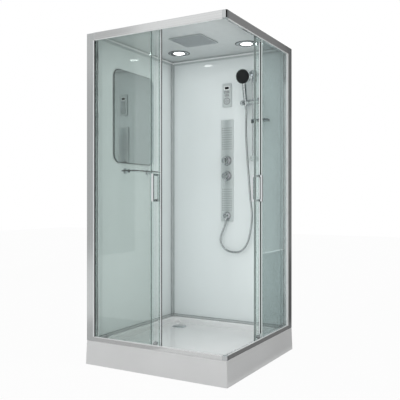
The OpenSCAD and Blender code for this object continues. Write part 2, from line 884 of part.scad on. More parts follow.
module jets(field, r, y0, y1) {
    for (row = [0 : jet_rows - 1], k = [0 : jet_columns - 1])
        rod_y(r, column_x + (k - (jet_columns - 1) / 2) * jet_pitch, y0, y1, field + row * jet_pitch);
}

module column_plate() {
    mid = (column_z + column_top) / 2;
    color([0.7, 0.73, 0.73]) difference() {
        wall_slab(column_x, mid, column_w, column_len, 4, column_face, wall_face);
        wall_slab(column_x, mid, column_w - 8, column_len - 8, 2, column_face + 3, wall_face + 1);
        for (field = jet_fields) jets(field, jet_r + seat, column_face - 1, column_face + 4);
        for (z = [diverter_z, mixer_z]) rod_y(neck_r + 1, column_x, column_face - 1, column_face + 4, z);
        rod_y(9, column_x, column_face - 1, column_face + 4, outlet_z);
    }
}

// Rubber mats behind the plate, with a nozzle through each hole
module jet_mats() {
    color([0.45, 0.47, 0.48]) for (field = jet_fields) {
        wall_slab(
            column_x, field + jet_rise / 2, (jet_columns - 1) * jet_pitch + mat_edge, jet_rise + mat_edge, 3,
            column_face + 3, column_face + 5.5
        );
        jets(field, jet_r, column_face - 1.2, column_face + 4);
    }
}

spindle_r = 6;
spindle_len = 22;
valve_end = 30;
inlet_len = 35;
inlet_nut = 6;

// Valve behind the wall: body, two cartridge necks with spindles, rosettes, and two G1/2 inlets
module mixing_valve() {
    body_w = 2 * inlet_apart + 28;
    color([0.72, 0.66, 0.5]) {
        wall_slab(
            column_x, (diverter_z + mixer_z) / 2, body_w, knob_apart + 2 * valve_end, 6,
            wall_back + seat, half - 1
        );
        for (z = [diverter_z, mixer_z]) {
            rod_y(neck_r, column_x, rosette_face, wall_back + 1, z);
            rod_y(spindle_r, column_x, rosette_face - spindle_len, rosette_face, z);
        }
        for (x = [-inlet_apart, inlet_apart])
            translate([column_x + x, pipe_y, mixer_z - valve_end - inlet_len]) {
                cylinder(r = inlet_r, h = inlet_len + 5);
                translate([0, 0, inlet_len - inlet_nut]) cylinder(r = inlet_r + 2, h = inlet_nut + 1, $fn = 6);
            }
    }
    color([0.82, 0.82, 0.84]) for (z = [diverter_z, mixer_z]) difference() {
        rod_y(rosette_r, column_x, rosette_face, column_face, z);
        rod_y(neck_r + seat, column_x, rosette_face - 1, column_face + 1, z);
    }
}

knob_back = rosette_face - seat;
knob_front = rosette_face - knob_len;

module knob(z) {
    difference() {
        union() {
            rod_y(knob_r, column_x, knob_front + 3, knob_back, z);
            translate([column_x, knob_front + 3, z]) rotate([90, 0, 0]) cylinder(r1 = knob_r, r2 = knob_r - 3, h = 3);
        }
        rod_y(spindle_r + running, column_x, rosette_face - spindle_len - 1, rosette_face + 1, z);
    }
}

module diverter_knob() {
    color([0.8, 0.8, 0.82]) {
        knob(diverter_z);
        translate([column_x, knob_back - 12, diverter_z + knob_r - 2]) cylinder(r = 3, h = 5);
    }
}

module mixer_lever() {
    lever_y = rosette_face - 22;
    color([0.8, 0.8, 0.82]) {
        knob(mixer_z);
        translate([column_x, lever_y, mixer_z - knob_r - 34]) cylinder(r = 5, h = 36);
        translate([column_x, lever_y, mixer_z - knob_r - 34]) sphere(5);
    }
}

// Outlet for the hose with its own feed pipe from the valve
module hose_outlet() {
    color([0.8, 0.8, 0.82]) {
        rod_y(outlet_r, column_x, column_face - 5, column_face, outlet_z);
        rod_y(outlet_r - 6, column_x, nipple_y - 10, column_face, outlet_z);
        translate([column_x, nipple_y - 10, outlet_z]) rotate([90, 0, 0])
            cylinder(r1 = outlet_r - 6, r2 = outlet_r - 12, h = 5);
        translate(hose_start) cylinder(r = nipple_r, h = nipple_len);
        rod_y(feed_r, column_x, column_face - 1, pipe_y, outlet_z);
        translate([column_x, pipe_y, outlet_z]) sphere(feed_r);
        translate([column_x, pipe_y, outlet_z]) cylinder(r = feed_r, h = mixer_z - valve_end - outlet_z);
    }
}

// Hose: rings of points along a smooth curve through the route
hose_sides = 10;
hose_steps = 3;
hose_count = len(hose_points) - 1;

function unit(v) = v / norm(v);
function route(i) = hose_points[max(0, min(hose_count, i))];
function curve(i, t) =
    let (a = route(i - 1), b = route(i), c = route(i + 1), d = route(i + 2))
    0.5 * (2 * b + (c - a) * t + (2 * a - 5 * b + 4 * c - d) * t * t + (3 * b - a - 3 * c + d) * t * t * t);

hose_line = [
    for (i = [0 : hose_count - 1], k = [0 : hose_steps - 1]) curve(i, k / hose_steps),
    hose_points[hose_count]
];
hose_last = len(hose_line) - 1;
hand_axis = [0, -sin(hand_lean), cos(hand_lean)];

function heading(i) =
    i == 0 ? [0, 0, -1] : i == hose_last ? hand_axis : unit(hose_line[i + 1] - hose_line[i - 1]);
function ring_at(i) =
    let (d = heading(i), side = unit(cross([0, 1, 0], d)), up = cross(d, side))
    [for (k = [0 : hose_sides - 1])
        hose_line[i] + hose_r * (cos(360 * k / hose_sides) * side + sin(360 * k / hose_sides) * up)];

module shower_hose() {
    rings = [for (i = [0 : hose_last]) each ring_at(i)];
    walls = [
        for (i = [0 : hose_last - 1], k = [0 : hose_sides - 1])
            let (a = i * hose_sides + k, b = i * hose_sides + (k + 1) % hose_sides)
            each [[a, b, b + hose_sides], [a, b + hose_sides, a + hose_sides]]
    ];
    end = hose_last * hose_sides;
    first = [for (k = [1 : hose_sides - 2]) [0, k + 1, k]];
    last = [for (k = [1 : hose_sides - 2]) [end, end + k, end + k + 1]];
    color([0.75, 0.76, 0.77]) polyhedron(points = rings, faces = concat(walls, first, last));
}

bar_stub = 14;

module slide_bar() {
    color([0.8, 0.8, 0.82]) {
        translate([bar_x, bar_y, bar_z - bar_stub]) cylinder(r = bar_r, h = bar_span + 2 * bar_stub);
        for (z = [bar_z, bar_z + bar_span]) difference() {
            rod_y(bracket_r, bar_x, bar_y - 18, wall_face, z);
            translate([bar_x, bar_y, bar_z - bracket_r]) cylinder(r = bar_r + 0.1, h = bar_span + 2 * bracket_r);
        }
    }
}

// Slider on the bar, with the pin that the holder tilts on
module slider() {
    color([0.75, 0.76, 0.78]) difference() {
        union() {
            rod_x(barrel_r, barrel_split, barrel_right, barrel_y, slider_z);
            rod_x(8, barrel_split - 12, barrel_split, barrel_y, slider_z);
        }
        translate([bar_x, bar_y, slider_z - 30]) cylinder(r = bar_r + running, h = 60);
        translate([bar_x + 38, barrel_y, slider_z + 3]) cylinder(r = 7 + seat, h = 30);
    }
}

module slider_button() {
    color([0.3, 0.31, 0.33]) translate([bar_x + 38, barrel_y, slider_z + 7]) cylinder(r = 7, h = barrel_r);
}

// Places along the hand shower's own axis
module on_hand_axis() {
    translate([hand_x, barrel_y, slider_z]) rotate([hand_lean, 0, 0]) children();
}

module shower_holder() {
    color([0.75, 0.76, 0.78]) difference() {
        union() {
            rod_x(barrel_r, barrel_left + barrel_r, barrel_split - seat, barrel_y, slider_z);
            translate([barrel_left + barrel_r, barrel_y, slider_z]) sphere(barrel_r);
        }
        rod_x(8 + running, barrel_split - 13, barrel_split + 1, barrel_y, slider_z);
        on_hand_axis() {
            translate([0, 0, -cone_half]) cylinder(r1 = cone_low_r + 0.1, r2 = cone_top_r + 0.1, h = 2 * cone_half);
            block([-8.5, -40, -40], [8.5, 0, 40]);
        }
    }
}

module hand_shower() {
    color([0.78, 0.78, 0.8]) on_hand_axis() difference() {
        union() {
            translate([0, 0, -hand_tail]) cylinder(r = hose_r + 3, h = hand_tail - cone_half);
            translate([0, 0, -cone_half]) cylinder(r1 = cone_low_r, r2 = cone_top_r, h = 2 * cone_half);
            translate([0, 0, cone_half]) cylinder(r1 = 15.5, r2 = 17.5, h = head_out - head_r - cone_half + 12);
            translate([0, 10, head_out]) rotate([90, 0, 0]) cylinder(r = head_r, h = 24);
            translate([0, 18, head_out]) rotate([90, 0, 0]) cylinder(r1 = head_r - 16, r2 = head_r - 2, h = 8);
        }
        translate([0, face_y, head_out]) rotate([90, 0, 0]) cylinder(r = head_r - 4 + seat, h = 10);
    }
}

module spray_face() {
    color([0.12, 0.12, 0.13]) on_hand_axis() translate([0, face_y, head_out]) rotate([90, 0, 0])
        cylinder(r = head_r - 4, h = 3);
}

dish_w = 104;
dish_d = 72;
clip_r = 16;
clip_h = 26;

module soap_dish() {
    mid_x = bar_x + clip_r + dish_w / 2 - 4;
    mid_y = bar_y - 14;
    color([0.75, 0.8, 0.8, 0.6]) difference() {
        union() {
            translate([bar_x, bar_y, dish_z]) cylinder(r = clip_r, h = clip_h);
            translate([mid_x, mid_y, dish_z + 8]) linear_extrude(14) round_area(dish_w, dish_d, 16);
        }
        translate([mid_x, mid_y, dish_z + 11]) linear_extrude(14) round_area(dish_w - 6, dish_d - 6, 13);
        translate([bar_x, bar_y, dish_z - 1]) cylinder(r = bar_r + running, h = clip_h + 2);
    }
}

tray();
support_frame();
levelling_feet();
waste_trap();
waste_cover();
wall_posts();
rear_corner_post();
front_top_rail();
side_top_rail();
bottom_rails();
corner_joints();
left_wall_panel();
back_wall_panel();
wall_trims();
fixed_panes();
fixed_pane_seals();
door_glass();  // front_door_glass
door_seal();  // front_door_seal
door_handle();  // front_door_handle
door_axles();  // front_door_axles
door_wheel(axle_places[0]);  // front_wheel_top_lead
door_wheel(axle_places[1]);  // front_wheel_top_trail
door_wheel(axle_places[2]);  // front_wheel_low_lead
door_wheel(axle_places[3]);  // front_wheel_low_trail
across_corner() door_glass();  // side_door_glass
across_corner() door_seal();  // side_door_seal
across_corner() door_handle();  // side_door_handle
across_corner() door_axles();  // side_door_axles
across_corner() door_wheel(axle_places[0]);  // side_wheel_top_lead
across_corner() door_wheel(axle_places[1]);  // side_wheel_top_trail
across_corner() door_wheel(axle_places[2]);  // side_wheel_low_lead
across_corner() door_wheel(axle_places[3]);  // side_wheel_low_trail
roof_panel();
rain_shower();
rain_pipe();
downlight_housings();
downlight_lenses();
wall_mirror();
glass_shelf();
shelf_holders();
control_panel();
display_window();
button_left();
button_right();
button_wide();
nav_pad();
column_plate();
jet_mats();
mixing_valve();
diverter_knob();
mixer_lever();
hose_outlet();
shower_hose();
slide_bar();
slider();
slider_button();
shower_holder();
hand_shower();
spray_face();
soap_dish();
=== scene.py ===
import bpy, bmesh, json
from math import radians, pi, cos, sin
from mathutils import Vector, Matrix


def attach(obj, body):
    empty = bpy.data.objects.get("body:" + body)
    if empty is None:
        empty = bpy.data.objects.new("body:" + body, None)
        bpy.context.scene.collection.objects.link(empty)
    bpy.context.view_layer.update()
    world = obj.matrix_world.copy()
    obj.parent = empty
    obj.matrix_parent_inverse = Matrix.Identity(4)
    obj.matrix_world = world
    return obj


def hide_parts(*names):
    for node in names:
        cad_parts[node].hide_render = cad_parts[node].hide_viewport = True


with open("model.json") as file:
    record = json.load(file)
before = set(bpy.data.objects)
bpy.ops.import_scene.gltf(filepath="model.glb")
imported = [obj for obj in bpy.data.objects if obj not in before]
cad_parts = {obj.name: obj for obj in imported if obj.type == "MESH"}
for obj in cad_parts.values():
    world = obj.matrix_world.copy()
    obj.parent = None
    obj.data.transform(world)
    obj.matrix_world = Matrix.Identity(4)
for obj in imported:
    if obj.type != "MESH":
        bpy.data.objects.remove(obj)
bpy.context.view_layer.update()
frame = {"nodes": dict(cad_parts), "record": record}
nodes = frame["nodes"]
bodyOf = {node: body for body, owned in frame["record"]["behaviour"]["bodies"].items() for node in owned}
slotOf = {part["node"]: part["material_slot"] for part in frame["record"]["subparts"]}
scene = bpy.context.scene
scene.view_settings.view_transform = "Standard"
mm = 0.001


def toLinear(code):  # sRGB hex to the linear values that the shaders want
    parts = [int(code[i:i + 2], 16) / 255 for i in (1, 3, 5)]
    return tuple(c / 12.92 if c <= 0.04045 else ((c + 0.055) / 1.055) ** 2.4 for c in parts) + (1.0,)


# adds a node; a link's source is a socket, or a node for its first output
def addNode(tree, kind, settings=None, links=None):
    node = tree.nodes.new(kind)
    for key, value in (settings or {}).items():
        if key == ".stops":  # a colour ramp's stops, as (place, hex)
            while len(node.color_ramp.elements) < len(value):
                node.color_ramp.elements.new(0.5)
            for element, (place, code) in zip(node.color_ramp.elements, value):
                element.position, element.color = place, toLinear(code)
        elif isinstance(key, str) and key.startswith("."):
            setattr(node, key[1:], value)  # a leading dot means a property of the node itself
        else:
            node.inputs[key].default_value = value
    for key, source in (links or {}).items():
        tree.links.new(source.outputs[0] if isinstance(source, bpy.types.Node) else source, node.inputs[key])
    return node


def newMaterial(name):
    material = bpy.data.materials.new(name)
    material.use_nodes = True
    material.node_tree.nodes.clear()
    return material, material.node_tree


def scaleOf(size):  # a pattern's scale, from the real size of its marks in mm
    return 1 / (size * mm)


def meshFrom(bm, name, outwards=True):
    if outwards:
        bmesh.ops.recalc_face_normals(bm, faces=bm.faces)
    mesh = bpy.data.meshes.new(name)
    bm.to_mesh(mesh)
    bm.free()
    return mesh


def finishPiece(name, mesh, material, body, slot, *stands, smooth=False):
    piece = bpy.data.objects.new(name, mesh)
    scene.collection.objects.link(piece)
    mesh.materials.clear()
    mesh.materials.append(material)
    mesh.polygons.foreach_set("use_smooth", [smooth] * len(mesh.polygons))
    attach(piece, body)
    if stands:
        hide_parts(*stands)
    return piece


# the camera is fitted to six corners of the photographed cabin
viewpoint = {
    "place": (1.98674, -3.41811, 1.03879),
    "yaw": 29.596,
    "lens": 53.19,
    "shiftUp": 0.00145,
}
cameraData = bpy.data.cameras.new("photoCamera")
cameraData.lens = viewpoint["lens"]
cameraData.sensor_width = 36
cameraData.shift_y = viewpoint["shiftUp"]
cameraData.clip_end = 60
camera = bpy.data.objects.new("photoCamera", cameraData)
camera.location = viewpoint["place"]
camera.rotation_euler = (radians(90), 0, radians(viewpoint["yaw"]))
scene.collection.objects.link(camera)
scene.camera = camera
print("camera set")


# double-lock hose wound from plated steel strip: bright, with a fine rib at each turn and painted shade in
# the groove between turns
def woundSteel(pitch):
    material, tree = newMaterial("woundHoseSteel")
    along = addNode(tree, "ShaderNodeUVMap", {".uv_map": "along"})
    wave = pi / 10  # what this texture repeats over at scale 1
    rib = addNode(tree, "ShaderNodeTexWave", {"Scale": wave * scaleOf(pitch)}, {"Vector": along})
    shade = rib.outputs["Fac"]
    # the dark end of this tone ramp is painted shade in each groove
    tone = addNode(tree, "ShaderNodeValToRGB", {".stops": [(0.05, "#989c9e"), (0.4, "#d2d5d6")]},
                   {"Fac": shade})
    relief = addNode(tree, "ShaderNodeBump", {"Strength": 0.06, "Distance": 0.4 * mm}, {"Height": shade})
    shader = addNode(tree, "ShaderNodeBsdfPrincipled", {"Metallic": 1.0, "Roughness": 0.06},
                     {"Base Color": tone, "Normal": relief})
    addNode(tree, "ShaderNodeOutputMaterial", links={"Surface": shader})
    return material


# the hand shower as it hangs: pivot and lean, and its tail and spray face from there, in mm and degrees
hand = {"pivot": (181, 424, 1740), "lean": 12, "tail": 45.05, "face": (0, -14.6, 185)}
handAxis = Vector((0, -sin(radians(hand["lean"])), cos(radians(hand["lean"]))))

# the hose: its route repeats the points of the CAD source, in mm from where it leaves the nipple
hose = {
    "radius": 0.0075,  # in m
    "rib": 4,
    "sides": 20,
    "steps": 14,
    "start": (12, 444, 897),
    "route": [(0, 0, 0), (-2, 0, -22), (-10, -1, -47), (-24, -2, -80), (-38, -4, -119), (-42, -6, -147),
              (-34, -8, -175), (-12, -10, -205), (28, -12, -227), (81, -14, -233), (123, -15, -225),
              (156, -16, -199), (187, -16, -147), (210, -17, -53), (217, -18, 47), (205, -19, 160),
              (195, -19, 288), (183, -19, 431), (173, -17, 573), (169, -14, 693), (169, -8, 777)],
}


def hoseCurve():
    start = Vector(hose["start"])
    points = [start + Vector(p) for p in hose["route"]]
    points.append(Vector(hand["pivot"]) - hand["tail"] * handAxis)
    last = len(points) - 1
    line = []
    for i in range(last):
        a, b, c, d = (points[max(0, min(last, k))] for k in (i - 1, i, i + 1, i + 2))
        for k in range(hose["steps"]):
            t = k / hose["steps"]
            line.append(0.5 * (2 * b + (c - a) * t + (2 * a - 5 * b + 4 * c - d) * t * t
                               + (3 * b - a - 3 * c + d) * t ** 3) * mm)
    line.append(points[last] * mm)
    return line


def tubeMesh(name, line, radius, sides, ends):
    bm = bmesh.new()
    uv = bm.loops.layers.uv.new("along")
    rings, reach, far = [], [], 0.0
    for i, p in enumerate(line):
        far += (p - line[i - 1]).length if i else 0
        reach.append(far)
        if 0 < i < len(line) - 1:
            ahead = (line[i + 1] - line[i - 1]).normalized()
        else:
            ahead = ends[0] if i == 0 else ends[1]
        side = Vector((0, 1, 0)).cross(ahead).normalized()
        up = ahead.cross(side)
        turns = [2 * pi * k / sides for k in range(sides)]
        rings.append([bm.verts.new(p + radius * (cos(a) * side + sin(a) * up)) for a in turns])
    for i in range(len(line) - 1):
        for k in range(sides):
            n = (k + 1) % sides
            face = bm.faces.new((rings[i][k], rings[i][n], rings[i + 1][n], rings[i + 1][k]))
            for loop, (u, v) in zip(face.loops, ((reach[i], k), (reach[i], k + 1),
                                                 (reach[i + 1], k + 1), (reach[i + 1], k))):
                loop[uv].uv = (u, v * radius * 2 * pi / sides)
    bm.faces.new(list(reversed(rings[0])))
    bm.faces.new(rings[-1])
    return meshFrom(bm, name), far


hoseLine = hoseCurve()
hoseMesh, hoseLength = tubeMesh("showerHose", hoseLine, hose["radius"], hose["sides"],
                                (Vector((0, 0, -1)), handAxis))
hosePiece = finishPiece("showerHose", hoseMesh, woundSteel(hose["rib"]), "cabin", "chrome", "shower_hose",
                        smooth=True)
print("hose", round(hoseLength, 3), "m")


# where things stand that more than one piece is fitted to, in mm
column = {"middle": 12, "face": 460}
downlights = {"out": 270, "back": 247, "low": 2110}
waste = (-300, 300, 65)


def patternedMaterial(name):  # its patterns follow the piece's own coordinates
    material, tree = newMaterial(name)
    return material, tree, addNode(tree, "ShaderNodeTexCoord").outputs["Object"]


def clouded(tree, place, size, stops):  # tones that drift in soft clouds, size in mm
    cloud = addNode(tree, "ShaderNodeTexNoise", {"Scale": scaleOf(size)}, {"Vector": place})
    return addNode(tree, "ShaderNodeValToRGB", {".stops": stops}, {"Fac": cloud})


def uneven(tree, place, size, low, high, start=0.0, end=1.0, detail=2.0):  # a gloss that drifts a little
    haze = addNode(tree, "ShaderNodeTexNoise", {"Scale": scaleOf(size), "Detail": detail}, {"Vector": place})
    return addNode(tree, "ShaderNodeMapRange",
                   {"From Min": start, "From Max": end, "To Min": low, "To Max": high}, {"Value": haze})


def rippled(tree, place, size, depth, strength, detail=2.0):  # a fine relief, size and depth in mm
    wave = addNode(tree, "ShaderNodeTexNoise", {"Scale": scaleOf(size), "Detail": detail}, {"Vector": place})
    return addNode(tree, "ShaderNodeBump", {"Strength": strength, "Distance": depth * mm}, {"Height": wave})


def castAcrylic():  # vacuum-formed acrylic sheet: deep gloss, a faint waviness from the forming
    material, tree, place = patternedMaterial("formedAcrylicWhite")
    tone = clouded(tree, place, 330, [(0.3, "#e0e1e1"), (0.7, "#e5e6e6")])
    rough = uneven(tree, place, 25, 0.09, 0.19)
    relief = rippled(tree, place, 110, 2.0, 0.12)
    shader = addNode(tree, "ShaderNodeBsdfPrincipled", {"IOR": 1.49},
                     {"Base Color": tone, "Roughness": rough, "Normal": relief})
    addNode(tree, "ShaderNodeOutputMaterial", links={"Surface": shader})
    return material


def zincSteel():  # hot-dip galvanised steel: dull grey with spangles
    material, tree, place = patternedMaterial("galvanisedSteel")
    spangle = addNode(tree, "ShaderNodeTexVoronoi", {"Scale": scaleOf(10)}, {"Vector": place})
    tone = addNode(tree, "ShaderNodeValToRGB", {".stops": [(0.1, "#8d9194"), (0.9, "#a9adaf")]},
                   {"Fac": spangle.outputs["Color"]})
    relief = addNode(tree, "ShaderNodeBump", {"Strength": 0.15, "Distance": 0.4 * mm},
                     {"Height": spangle.outputs["Distance"]})
    shader = addNode(tree, "ShaderNodeBsdfPrincipled", {"Metallic": 1.0, "Roughness": 0.42},
                     {"Base Color": tone, "Normal": relief})
    addNode(tree, "ShaderNodeOutputMaterial", links={"Surface": shader})
    return material


# moulded plastic or rubber, and satin paint: even colour, a fine grain drawn coarser than real so it shows
def mouldedPlastic(name, dark, light, roughness, grain=0.8, depth=0.1):
    material, tree, place = patternedMaterial(name)
    tone = clouded(tree, place, 40, [(0.25, dark), (0.75, light)])
    speck = addNode(tree, "ShaderNodeTexNoise", {"Scale": scaleOf(grain)}, {"Vector": place})
    rough = addNode(tree, "ShaderNodeMapRange", {"To Min": roughness - 0.06, "To Max": roughness + 0.06},
                    {"Value": speck})
    relief = addNode(tree, "ShaderNodeBump", {"Strength": 0.3, "Distance": depth * mm}, {"Height": speck})
    shader = addNode(tree, "ShaderNodeBsdfPrincipled", {"IOR": 1.5},
                     {"Base Color": tone, "Roughness": rough, "Normal": relief})
    addNode(tree, "ShaderNodeOutputMaterial", links={"Surface": shader})
    return material


def platedChrome(name, tone, roughness):  # nickel-chrome plating: mirror-bright, a faint polishing haze
    material, tree, place = patternedMaterial(name)
    rough = uneven(tree, place, 56, roughness, roughness + 0.05, 0.35, 0.8, 4.0)
    shader = addNode(tree, "ShaderNodeBsdfPrincipled", {"Base Color": toLinear(tone), "Metallic": 1.0},
                     {"Roughness": rough})
    addNode(tree, "ShaderNodeOutputMaterial", links={"Surface": shader})
    return material


# extruded and bright-anodised aluminium: die lines along it, drawn coarser than real so they show
def drawnAluminium(name, along, dark, light, roughness, length=1000, pitch=3.8):
    material, tree, place = patternedMaterial(name)
    drawn = [scaleOf(length if axis == along else pitch) for axis in "xyz"]
    stretched = addNode(tree, "ShaderNodeMapping", {"Scale": drawn}, {"Vector": place})
    lines = addNode(tree, "ShaderNodeTexNoise", {"Scale": 1.0, "Detail": 3.0}, {"Vector": stretched})
    tone = addNode(tree, "ShaderNodeValToRGB", {".stops": [(0.25, dark), (0.75, light)]}, {"Fac": lines})
    rough = addNode(tree, "ShaderNodeMapRange", {"To Min": roughness - 0.05, "To Max": roughness + 0.05},
                    {"Value": lines})
    relief = addNode(tree, "ShaderNodeBump", {"Strength": 0.06, "Distance": 0.2 * mm}, {"Height": lines})
    shader = addNode(tree, "ShaderNodeBsdfPrincipled", {"Metallic": 1.0},
                     {"Base Color": tone, "Roughness": rough, "Normal": relief})
    addNode(tree, "ShaderNodeOutputMaterial", links={"Surface": shader})
    return material


# powder-coated profiles: satin with a faint orange peel, white, with painted shade making them light grey
# under the ceiling
def trimProfile(shadedAbove=250):
    material, tree, place = patternedMaterial("wallTrimProfile")
    height = addNode(tree, "ShaderNodeSeparateXYZ", links={"Vector": place}).outputs["Z"]
    # below this height white, above it light grey: painted shade under the ceiling
    low = addNode(tree, "ShaderNodeMath", {".operation": "LESS_THAN", 1: shadedAbove * mm}, {0: height})
    speck = addNode(tree, "ShaderNodeTexNoise", {"Scale": scaleOf(4.5), "Detail": 3.0}, {"Vector": place})
    grey = addNode(tree, "ShaderNodeValToRGB", {".stops": [(0.25, "#bcc3c3"), (0.75, "#c4cbcb")]},
                   {"Fac": speck})
    tone = addNode(tree, "ShaderNodeMix", {".data_type": "RGBA", 7: toLinear("#d6dbdb")}, {0: low, 6: grey})
    rough = addNode(tree, "ShaderNodeMapRange", {"To Min": 0.24, "To Max": 0.36}, {"Value": speck})
    shader = addNode(tree, "ShaderNodeBsdfPrincipled", {"IOR": 1.5},
                     {"Base Color": tone.outputs[2], "Roughness": rough})
    addNode(tree, "ShaderNodeOutputMaterial", links={"Surface": shader})
    return material


def backPaintedGlass():  # float glass, white enamel behind it: a mirror-smooth face, a dull painted back
    material, tree = newMaterial("backPaintedGlass")
    coords = addNode(tree, "ShaderNodeTexCoord")
    place = coords.outputs["Object"]
    lean = addNode(tree, "ShaderNodeSeparateXYZ", links={"Vector": coords.outputs["Normal"]})
    outward = addNode(tree, "ShaderNodeMath", {".operation": "SUBTRACT"},
                      {0: lean.outputs["Y"], 1: lean.outputs["X"]})
    rough = addNode(tree, "ShaderNodeMapRange",
                    {"From Min": 0.4, "From Max": 0.6, "To Min": 0.02, "To Max": 0.55}, {"Value": outward})
    tone = clouded(tree, place, 830, [(0.3, "#dee4e4"), (0.7, "#e2e8e8")])
    relief = rippled(tree, place, 500, 4.0, 0.02, 1.0)
    shader = addNode(tree, "ShaderNodeBsdfPrincipled", {"IOR": 1.52},
                     {"Base Color": tone, "Roughness": rough, "Normal": relief})
    addNode(tree, "ShaderNodeOutputMaterial", links={"Surface": shader})
    return material


def throughLamps(tree, pane, tint):  # lamps and soft light pass straight through a clear piece
    path = addNode(tree, "ShaderNodeLightPath")
    either = addNode(tree, "ShaderNodeMath", {".operation": "MAXIMUM"},
                     {0: path.outputs["Is Shadow Ray"], 1: path.outputs["Is Diffuse Ray"]})
    clear = addNode(tree, "ShaderNodeBsdfTransparent", {"Color": toLinear(tint)})
    both = addNode(tree, "ShaderNodeMixShader", links={0: either, 1: pane, 2: clear})
    addNode(tree, "ShaderNodeOutputMaterial", links={"Surface": both})


clearGlass = {"Roughness": 0.0, "IOR": 1.5, "Transmission Weight": 1.0}


def floatGlass(name, across, face, edge):  # toughened float glass: clear faces, green ground edges
    material, tree = newMaterial(name)
    normal = addNode(tree, "ShaderNodeTexCoord").outputs["Normal"]
    lean = addNode(tree, "ShaderNodeSeparateXYZ", links={"Vector": normal}).outputs[across]
    facing = addNode(tree, "ShaderNodeMath", {".operation": "ABSOLUTE"}, {0: lean})
    tone = addNode(tree, "ShaderNodeValToRGB", {".stops": [(0.3, edge), (0.7, face)]}, {"Fac": facing})
    pane = addNode(tree, "ShaderNodeBsdfPrincipled", clearGlass, {"Base Color": tone})
    throughLamps(tree, pane, "#fafcfc")
    return material


# the same glass for both fixed panes, the side one tinted a touch darker as painted shade of its grazing
# reflections: the front one stands before this depth, facing Y, the other faces X
def fixedPaneGlass(front, side, edge, behindFront=-478.5):
    material, tree = newMaterial("floatGlassFixed")
    coords = addNode(tree, "ShaderNodeTexCoord")
    depth = addNode(tree, "ShaderNodeSeparateXYZ", links={"Vector": coords.outputs["Object"]}).outputs["Y"]
    isFront = addNode(tree, "ShaderNodeMath", {".operation": "LESS_THAN", 1: behindFront * mm}, {0: depth})
    lean = addNode(tree, "ShaderNodeSeparateXYZ", links={"Vector": coords.outputs["Normal"]})
    tones = []
    for axis, face in (("Y", front), ("X", side)):
        facing = addNode(tree, "ShaderNodeMath", {".operation": "ABSOLUTE"}, {0: lean.outputs[axis]})
        tones.append(addNode(tree, "ShaderNodeValToRGB", {".stops": [(0.3, edge), (0.7, face)]},
                             {"Fac": facing}))
    tone = addNode(tree, "ShaderNodeMix", {".data_type": "RGBA"}, {0: isFront, 6: tones[1], 7: tones[0]})
    pane = addNode(tree, "ShaderNodeBsdfPrincipled", clearGlass, {"Base Color": tone.outputs[2]})
    throughLamps(tree, pane, "#fafcfc")
    return material


# clear PVC extrusion: glossy and see-through; its painted lines of highlight and shade, with the dark magnet
# strip and pane edge, are (colour, x from, to, y from, to) in mm
def softVinyl(name, paintedLines):
    material, tree, place = patternedMaterial(name)
    split = addNode(tree, "ShaderNodeSeparateXYZ", links={"Vector": place})
    rough = uneven(tree, place, 17, 0.03, 0.08)
    body = addNode(tree, "ShaderNodeRGB")
    body.outputs[0].default_value = toLinear("#f2f7f6")
    tone, solid = body.outputs[0], None
    for colour, x0, x1, y0, y1 in paintedLines:
        inside = None
        for axis, low, high in (("X", x0, x1), ("Y", y0, y1)):
            spot = split.outputs[axis]
            above = addNode(tree, "ShaderNodeMath", {".operation": "GREATER_THAN", 1: low * mm}, {0: spot})
            below = addNode(tree, "ShaderNodeMath", {".operation": "LESS_THAN", 1: high * mm}, {0: spot})
            within = addNode(tree, "ShaderNodeMath", {".operation": "MULTIPLY"}, {0: above, 1: below})
            inside = within if inside is None else addNode(tree, "ShaderNodeMath", {".operation": "MULTIPLY"},
                                                           {0: inside, 1: within})
        tone = addNode(tree, "ShaderNodeMix", {".data_type": "RGBA", 7: toLinear(colour)},
                       {0: inside, 6: tone}).outputs[2]
        solid = inside if solid is None else addNode(tree, "ShaderNodeMath", {".operation": "MAXIMUM"},
                                                     {0: solid, 1: inside})
    through = addNode(tree, "ShaderNodeMapRange", {"To Min": 0.97, "To Max": 0.0}, {"Value": solid})
    strip = addNode(tree, "ShaderNodeBsdfPrincipled", {"IOR": 1.1},
                    {"Base Color": tone, "Roughness": rough, "Transmission Weight": through})
    throughLamps(tree, strip, "#f6f9f8")
    return material


def rainPlateSteel():  # brushed stainless sheet: satin, brush marks along X, drawn 2 mm apart so they show
    material, tree, place = patternedMaterial("brushedRainPlate")
    brushed = (scaleOf(330), scaleOf(2), scaleOf(2))
    stretched = addNode(tree, "ShaderNodeMapping", {"Scale": brushed}, {"Vector": place})
    marks = addNode(tree, "ShaderNodeTexNoise", {"Scale": 1.0, "Detail": 3.0}, {"Vector": stretched})
    tone = addNode(tree, "ShaderNodeValToRGB", {".stops": [(0.2, "#cdd1d2"), (0.8, "#dde0e1")]},
                   {"Fac": marks})
    rough = addNode(tree, "ShaderNodeMapRange", {"To Min": 0.28, "To Max": 0.42}, {"Value": marks})
    shader = addNode(tree, "ShaderNodeBsdfPrincipled", {"Metallic": 1.0},
                     {"Base Color": tone, "Roughness": rough})
    addNode(tree, "ShaderNodeOutputMaterial", links={"Surface": shader})
    return material


